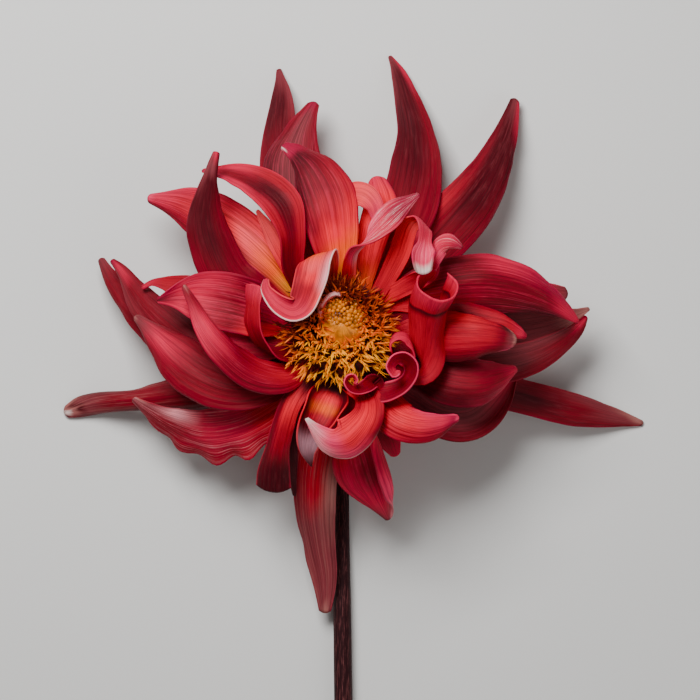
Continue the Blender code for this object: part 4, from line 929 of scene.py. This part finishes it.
def lathe(profile):
    """A solid turned about the bloom's axis from (radius, height) points that start and end on the axis."""
    bm = bmesh.new()
    ring = [bm.verts.new(((Vector((r, 0, z)) + BLOOM) * MM)) for r, z in profile]
    edges = [bm.edges.new(pair) for pair in zip(ring, ring[1:])]
    bmesh.ops.spin(bm, geom=ring + edges, cent=BLOOM * MM, axis=(0, 0, 1), angle=2 * math.pi,
                   steps=LATHE_SIDES, use_merge=True)
    bmesh.ops.remove_doubles(bm, verts=bm.verts, dist=0.01 * MM)
    bmesh.ops.recalc_face_normals(bm, faces=bm.faces)
    return bm


def palette_of(context):
    """The palette's colours by name."""
    return {name: tuple(getattr(context.scene.dahlia_colours, name)) for name in PALETTE}


def floret_places(count):
    """Root, direction and length of each open floret, leaning out more towards the rim of the disc."""
    chance = random.Random(11)
    for i in range(count):
        share = (i + 0.5) / count
        turn = i * GOLDEN_ANGLE
        out = Vector((math.cos(turn), math.sin(turn), 0))
        edge = RING_START + (1 - RING_START) * share
        root = Vector((*DOME_CENTRE, 0)) * (1 - share) + out * DISC_RADIUS * edge
        root.z = INNER_ROOTS if edge < SHOULDER else OUTER_ROOTS
        lean = math.radians(INNER_LEAN + (OUTER_LEAN - INNER_LEAN) * share**1.4
                            + chance.uniform(-LEAN_SCATTER, LEAN_SCATTER))
        side = Vector((-out.y, out.x, 0)) * chance.uniform(-0.8, 0.8)
        direction = (out + side).normalized() * math.sin(lean) + Vector((0, 0, math.cos(lean)))
        reach = 1 + 0.9 * max(-out.x, 0.0) ** 2
        yield root, direction, chance.uniform(*TUBE_LENGTHS) * reach, chance


def add_lobe(bm, own, start, direction, settings, tone, chance):
    """One slim, pointed lobe that bends on its way."""
    side = direction.orthogonal().normalized()
    side.rotate(Quaternion(direction, chance.uniform(0, math.tau)))
    direction = Quaternion(side, chance.uniform(0.1, 0.8)) @ direction
    bend = Quaternion(side, chance.uniform(-0.4, 0.3))
    half = settings.lobe_width / MM / 2 * chance.uniform(0.75, 1.3)
    step = settings.lobe_length / MM * chance.uniform(0.5, 1.4) / len(LOBE_PROFILE)
    point = start
    rings = []
    for share in LOBE_PROFILE:
        up = direction.cross(side) * half * share * 0.5
        rings.append([bm.verts.new((point + corner + BLOOM) * MM)
                      for corner in (side * half * share, up, -side * half * share)])
        point = point + direction * step
        direction = bend @ direction
    tip = bm.verts.new((point + BLOOM) * MM)
    bm.faces.new(rings[0])
    for low, high in zip(rings, rings[1:]):
        for i in range(3):
            bm.faces.new((low[i], low[(i + 1) % 3], high[(i + 1) % 3], high[i]))
    for i in range(3):
        bm.faces.new((rings[-1][i], rings[-1][(i + 1) % 3], tip))
    # along runs up to 1 at the lobe's tip; the finish paints shade where it is low, deep among the florets.
    for corners, along in zip((*rings, [tip]), (0.4, 0.7, 0.9, 1.0)):
        for v in corners:
            v[own] = (tone, along, 0)


def add_floret(bm, own, root, direction, length, settings, chance):
    """One open floret: a slim tube that ends in three pointed lobes."""
    radius = settings.floret_radius / MM
    made = bmesh.ops.create_cone(bm, segments=6, radius1=0.6 * radius, radius2=radius, depth=length,
                                 cap_ends=True)["verts"]
    turn = direction.to_track_quat("Z", "Y")
    tone = chance.random()
    for v in made:
        # The tube keeps a low along, so the finish paints it in shade.
        v[own] = (tone, 0.45 if v.co.z > 0 else 0.0, 0)
        v.co = (root + turn @ (v.co + Vector((0, 0, length / 2))) + BLOOM) * MM
    mouth = root + direction * (length - LOBE_DEPTH)
    for _ in range(3):
        add_lobe(bm, own, mouth, direction, settings, tone * 0.7 + chance.random() * 0.3, chance)


def clear_of(tree, root, direction, length):
    """Whether a floret whose tube has this length keeps its room to the petals."""
    reach = length + LOBE_REACH
    points = (root + direction * reach * i / 8 for i in range(9))
    return all(tree.find_nearest((point + BLOOM) * MM, PETAL_ROOM * MM)[0] is None for point in points)


def open_florets(settings):
    """The ring of open florets, crowded but clear of the petals."""
    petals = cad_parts["ray_petals"].data
    petals.calc_loop_triangles()
    tree = BVHTree.FromPolygons([v.co for v in petals.vertices], [t.vertices for t in petals.loop_triangles])
    bm = bmesh.new()
    own = bm.verts.layers.float_vector.new("floret")
    for root, direction, length, chance in floret_places(settings.florets):
        while length > SHORTEST_TUBE and not clear_of(tree, root, direction, length):
            length -= TUBE_STEP
        if length > SHORTEST_TUBE:
            add_floret(bm, own, root, direction, length, settings, chance)
    bmesh.ops.recalc_face_normals(bm, faces=bm.faces)
    return bm


def grown_together(point):
    """1 on the lower left of the dome, where the buds form one swell, 0 where they are loose beads."""
    beyond = SWELL_EDGE - SWELL_SLANT * point.x - point.y
    return max(0.0, min(beyond / SWELL_FADE + 0.5, 1.0))


def add_swell(bm, own):
    """The dome that the buds of the lower side have grown together into, with fine folds down its flank."""
    made = bmesh.ops.create_icosphere(bm, subdivisions=5, radius=1)["verts"]
    for v in made:
        turn = math.atan2(v.co.y, v.co.x)
        fold = noise.noise((math.cos(turn) * 7, math.sin(turn) * 7, v.co.z * 1.5)) * SWELL_FOLD
        height = v.co.z
        v.co *= 1 + fold * math.hypot(v.co.x, v.co.y)
        v.co = Vector((v.co.x * DOME_RADIUS, v.co.y * DOME_RADIUS, v.co.z * DOME_HEIGHT))
        v.co += Vector((*DOME_CENTRE, DOME_BASE))
        swollen = grown_together(v.co)
        # The second amount is low where the swell lies under the loose beads and low on its flank; the
        # finish paints shade there.
        v[own] = (0.3, swollen * (0.2 + 0.8 * max(height, 0.0)), turn / math.tau)
        v.co = (v.co - Vector((0, 0, SWELL_DROP * (1 - swollen))) + BLOOM) * MM


def place_on_dome(r, turn):
    """A point on the dome of buds and the way that it faces."""
    height = DOME_HEIGHT * math.sqrt(max(1 - (r / DOME_RADIUS) ** 2, 0))
    x = r * math.cos(turn)
    y = r * math.sin(turn)
    facing = Vector((x / DOME_RADIUS**2, y / DOME_RADIUS**2, height / DOME_HEIGHT**2)).normalized()
    return Vector((DOME_CENTRE[0] + x, DOME_CENTRE[1] + y, DOME_BASE + height)), facing


def closed_buds(count):
    """The dome of closed buds: loose beads on its upper side, a smooth swell on its lower one."""
    chance = random.Random(5)
    bm = bmesh.new()
    own = bm.verts.layers.float_vector.new("floret")
    add_swell(bm, own)
    for i in range(count):
        point, facing = place_on_dome(DOME_RADIUS * math.sqrt((i + 0.5) / count), i * GOLDEN_ANGLE)
        sunk = grown_together(point) + chance.uniform(-0.2, 0.2)
        if sunk > SUNK_AWAY:
            continue
        tilt = Vector((chance.uniform(-BUD_TILT, BUD_TILT), chance.uniform(-BUD_TILT, BUD_TILT), 0))
        made = bmesh.ops.create_icosphere(bm, subdivisions=2, radius=BUD_RADIUS)["verts"]
        turn = (facing + tilt).to_track_quat("Z", "Y")
        size = chance.uniform(*BUD_SIZES)
        tone = chance.random()
        for v in made:
            # The lower half of each bud gets a low second amount, which the finish paints as shade between
            # the buds.
            v[own] = (tone, 0.5 + 0.5 * v.co.z / BUD_RADIUS, i)
            v.co.z *= 1.1 + 0.6 * tone
            v.co = (point + turn @ (v.co * size) - facing * (0.15 + 0.5 * max(sunk, 0.0)) + BLOOM) * MM
    return bm


def stem_shape(settings):
    """The ridged stem along its path, each vertex keeping its place round and along it as an attribute."""
    keys = [Vector(p) for p in STEM_PATH]
    bm = bmesh.new()
    bmesh.ops.create_cone(bm, segments=STEM_SIDES, radius1=1, radius2=1, depth=1, cap_ends=True)
    shaft = [e for e in bm.edges if abs(e.verts[0].co.z - e.verts[1].co.z) > 0.5]
    bmesh.ops.subdivide_edges(bm, edges=shaft, cuts=STEM_RINGS - 1)
    place = bm.verts.layers.float_vector.new("shaft")
    for v in bm.verts:
        at = 0.5 - v.co.z
        turn = math.atan2(v.co.y, v.co.x)
        v[place] = (v.co.x, v.co.y, at)
        centre = smooth_between(keys, at)
        ahead = (smooth_between(keys, at + 0.01) - smooth_between(keys, at - 0.01)).xyz.normalized()
        up = Vector((1, 0, 0)).cross(ahead).normalized()
        side = ahead.cross(up)
        ridge = noise.noise((math.cos(turn) * 4, math.sin(turn) * 4, at * 1.5)) * settings.ridge_depth / MM
        spot = centre.xyz + (side * v.co.x + up * v.co.y) * (centre.w + ridge)
        spot.z = max(spot.z, 0.0)
        v.co = (spot + BLOOM) * MM
    bmesh.ops.recalc_face_normals(bm, faces=bm.faces)
    return bm


# ---- Operators ----

class DAHLIA_OT_petals(bpy.types.Operator):
    """Builds every ray petal as a thin, ribbed blade"""

    bl_idname = "dahlia.petals"
    bl_label = "Ray petals"

    def execute(self, context):
        colours = palette_of(context)
        for p in PETALS:
            coarse = p["name"].startswith("under_")
            mesh = (COARSE_ROWS, COARSE_COLUMNS) if coarse else (PETAL_ROWS, PETAL_COLUMNS)
            add_blade("petal_" + p["name"], p, petal_finish(p["name"], colours), "ray_petals",
                      context.scene.dahlia_petals.thickness, *mesh)
        return {"FINISHED"}


class DAHLIA_OT_collar(bpy.types.Operator):
    """Builds the collar that the petals grow from"""

    bl_idname = "dahlia.collar"
    bl_label = "Collar"

    def execute(self, context):
        colours = palette_of(context)
        finish = body_finish("collar_skin", colours["crimson"], colours["maroon"], 300.0)
        add_piece("petal_collar", lathe(COLLAR_PROFILE), finish, "ray_petals")
        return {"FINISHED"}


class DAHLIA_OT_florets(bpy.types.Operator):
    """Builds the core of the disc and its crowd of open florets with their slim lobes"""

    bl_idname = "dahlia.florets"
    bl_label = "Open florets"

    def execute(self, context):
        settings = context.scene.dahlia_disc
        core = body_finish("disc_core_skin", settings.floret_shade, tint(CORE_PITS), 900.0)
        add_piece("disc_core", lathe(CORE_PROFILE), core, "disc_florets")
        florets = add_piece("open_florets", open_florets(settings), floret_finish(settings), "disc_florets")
        florets.data.set_sharp_from_angle(angle=math.radians(50))
        return {"FINISHED"}


class DAHLIA_OT_buds(bpy.types.Operator):
    """Builds the golden dome of closed buds and the small pale petaloid that curls on it"""

    bl_idname = "dahlia.buds"
    bl_label = "Closed buds"

    def execute(self, context):
        settings = context.scene.dahlia_disc
        add_piece("closed_buds", closed_buds(settings.buds), bud_finish(settings), "disc_buds")
        add_blade("petaloid", PETALOID, petal_finish("petaloid", palette_of(context)), "disc_buds",
                  settings.petaloid_thickness)
        return {"FINISHED"}


class DAHLIA_OT_stem(bpy.types.Operator):
    """Builds the ridged maroon stem"""

    bl_idname = "dahlia.stem"
    bl_label = "Stem"

    def execute(self, context):
        settings = context.scene.dahlia_stem
        stem = add_piece("flower_stem", stem_shape(settings), stem_finish(settings), "stem")
        stem.data.set_sharp_from_angle(angle=math.radians(60))
        return {"FINISHED"}


class DAHLIA_OT_calyx(bpy.types.Operator):
    """Builds the green cup behind the petals and its bent-back bracts"""

    bl_idname = "dahlia.calyx"
    bl_label = "Calyx"

    def execute(self, context):
        settings = context.scene.dahlia_stem
        dark = [c * 0.4 for c in settings.green]
        finish = body_finish("cup_skin", settings.green, dark, 700.0)
        add_piece("green_cup", lathe(CALYX_PROFILE), finish, "calyx")
        finish = leaf_finish("bract_skin", settings.green, tint(BRACT_MARGIN))
        for i in range(BRACTS):
            turn = 2 * math.pi * (i + 0.5) / BRACTS
            path = [(r * math.cos(turn), r * math.sin(turn), z, breadth) for r, z, breadth in BRACT_PATH]
            p = petal(f"bract_{i + 1}", path, cup=BRACT_CUP)
            add_blade(p["name"], p, finish, "calyx", settings.bract_thickness)
        return {"FINISHED"}


class DAHLIA_OT_stage(bpy.types.Operator):
    """Sets the pale table, the soft light and the camera that looks down on the bloom"""

    bl_idname = "dahlia.stage"
    bl_label = "Stage"

    def execute(self, context):
        settings = context.scene.dahlia_stage
        bloom = BLOOM * MM
        bm = bmesh.new()
        bmesh.ops.create_grid(bm, x_segments=1, y_segments=1, size=TABLE_REACH)
        bmesh.ops.translate(bm, verts=bm.verts, vec=(0, 0, -TABLE_GAP * MM))
        top = Finish("table_top", Base_Color=TABLE_COLOUR, Roughness=TABLE_ROUGHNESS).material
        add_object("table", bm, top)

        world = bpy.data.worlds.new("studio")
        world.use_nodes = True
        sky = world.node_tree.nodes["Background"]
        sky.inputs["Color"].default_value = SKY_COLOUR
        sky.inputs["Strength"].default_value = SKY_STRENGTH
        context.scene.world = world
        for name, place, size, share in LAMPS:
            lamp = bpy.data.lights.new(name, "AREA")
            lamp.size = size
            lamp.energy = settings.light_power * share
            light = bpy.data.objects.new(name, lamp)
            light.location = bloom + Vector(place)
            light.rotation_euler = (bloom - light.location).to_track_quat("-Z", "Y").to_euler()
            context.scene.collection.objects.link(light)

        lens = bpy.data.cameras.new("camera")
        lens.sensor_width = 36.0
        lens.lens = lens.sensor_width * (settings.view_height - STEM_LEVEL * MM) / settings.view_width
        camera = bpy.data.objects.new("camera", lens)
        camera.location = (bloom.x + VIEW_SHIFT[0] * MM, bloom.y + VIEW_SHIFT[1] * MM, settings.view_height)
        context.scene.collection.objects.link(camera)
        context.scene.camera = camera
        return {"FINISHED"}


PIECES = (DAHLIA_OT_petals, DAHLIA_OT_collar, DAHLIA_OT_florets, DAHLIA_OT_buds, DAHLIA_OT_stem,
          DAHLIA_OT_calyx, DAHLIA_OT_stage)
SETTINGS = {"dahlia_colours": PetalColours, "dahlia_petals": PetalSettings, "dahlia_disc": DiscSettings,
            "dahlia_stem": StemSettings, "dahlia_stage": StageSettings}


class DAHLIA_PT_panel(bpy.types.Panel):
    """Lists the pieces of the flower and what can be changed on them"""

    bl_idname = "DAHLIA_PT_panel"
    bl_label = "Dahlia"
    bl_space_type = "VIEW_3D"
    bl_region_type = "UI"
    bl_category = "Dahlia"

    def draw(self, context):
        for piece in PIECES:
            self.layout.operator(piece.bl_idname)
        for name, group in SETTINGS.items():
            box = self.layout.box()
            for setting in group.__annotations__:
                box.prop(getattr(context.scene, name), setting)


def register():
    for group in (*SETTINGS.values(), *PIECES, DAHLIA_PT_panel):
        bpy.utils.register_class(group)
    for name, group in SETTINGS.items():
        setattr(bpy.types.Scene, name, bpy.props.PointerProperty(type=group))


def unregister():
    for name in SETTINGS:
        delattr(bpy.types.Scene, name)
    for group in (DAHLIA_PT_panel, *reversed(PIECES), *reversed(SETTINGS.values())):
        bpy.utils.unregister_class(group)


def main():
    register()
    for piece in PIECES:
        group, name = piece.bl_idname.split(".")
        getattr(getattr(bpy.ops, group), name)()


if __name__ == "__main__":
    main()
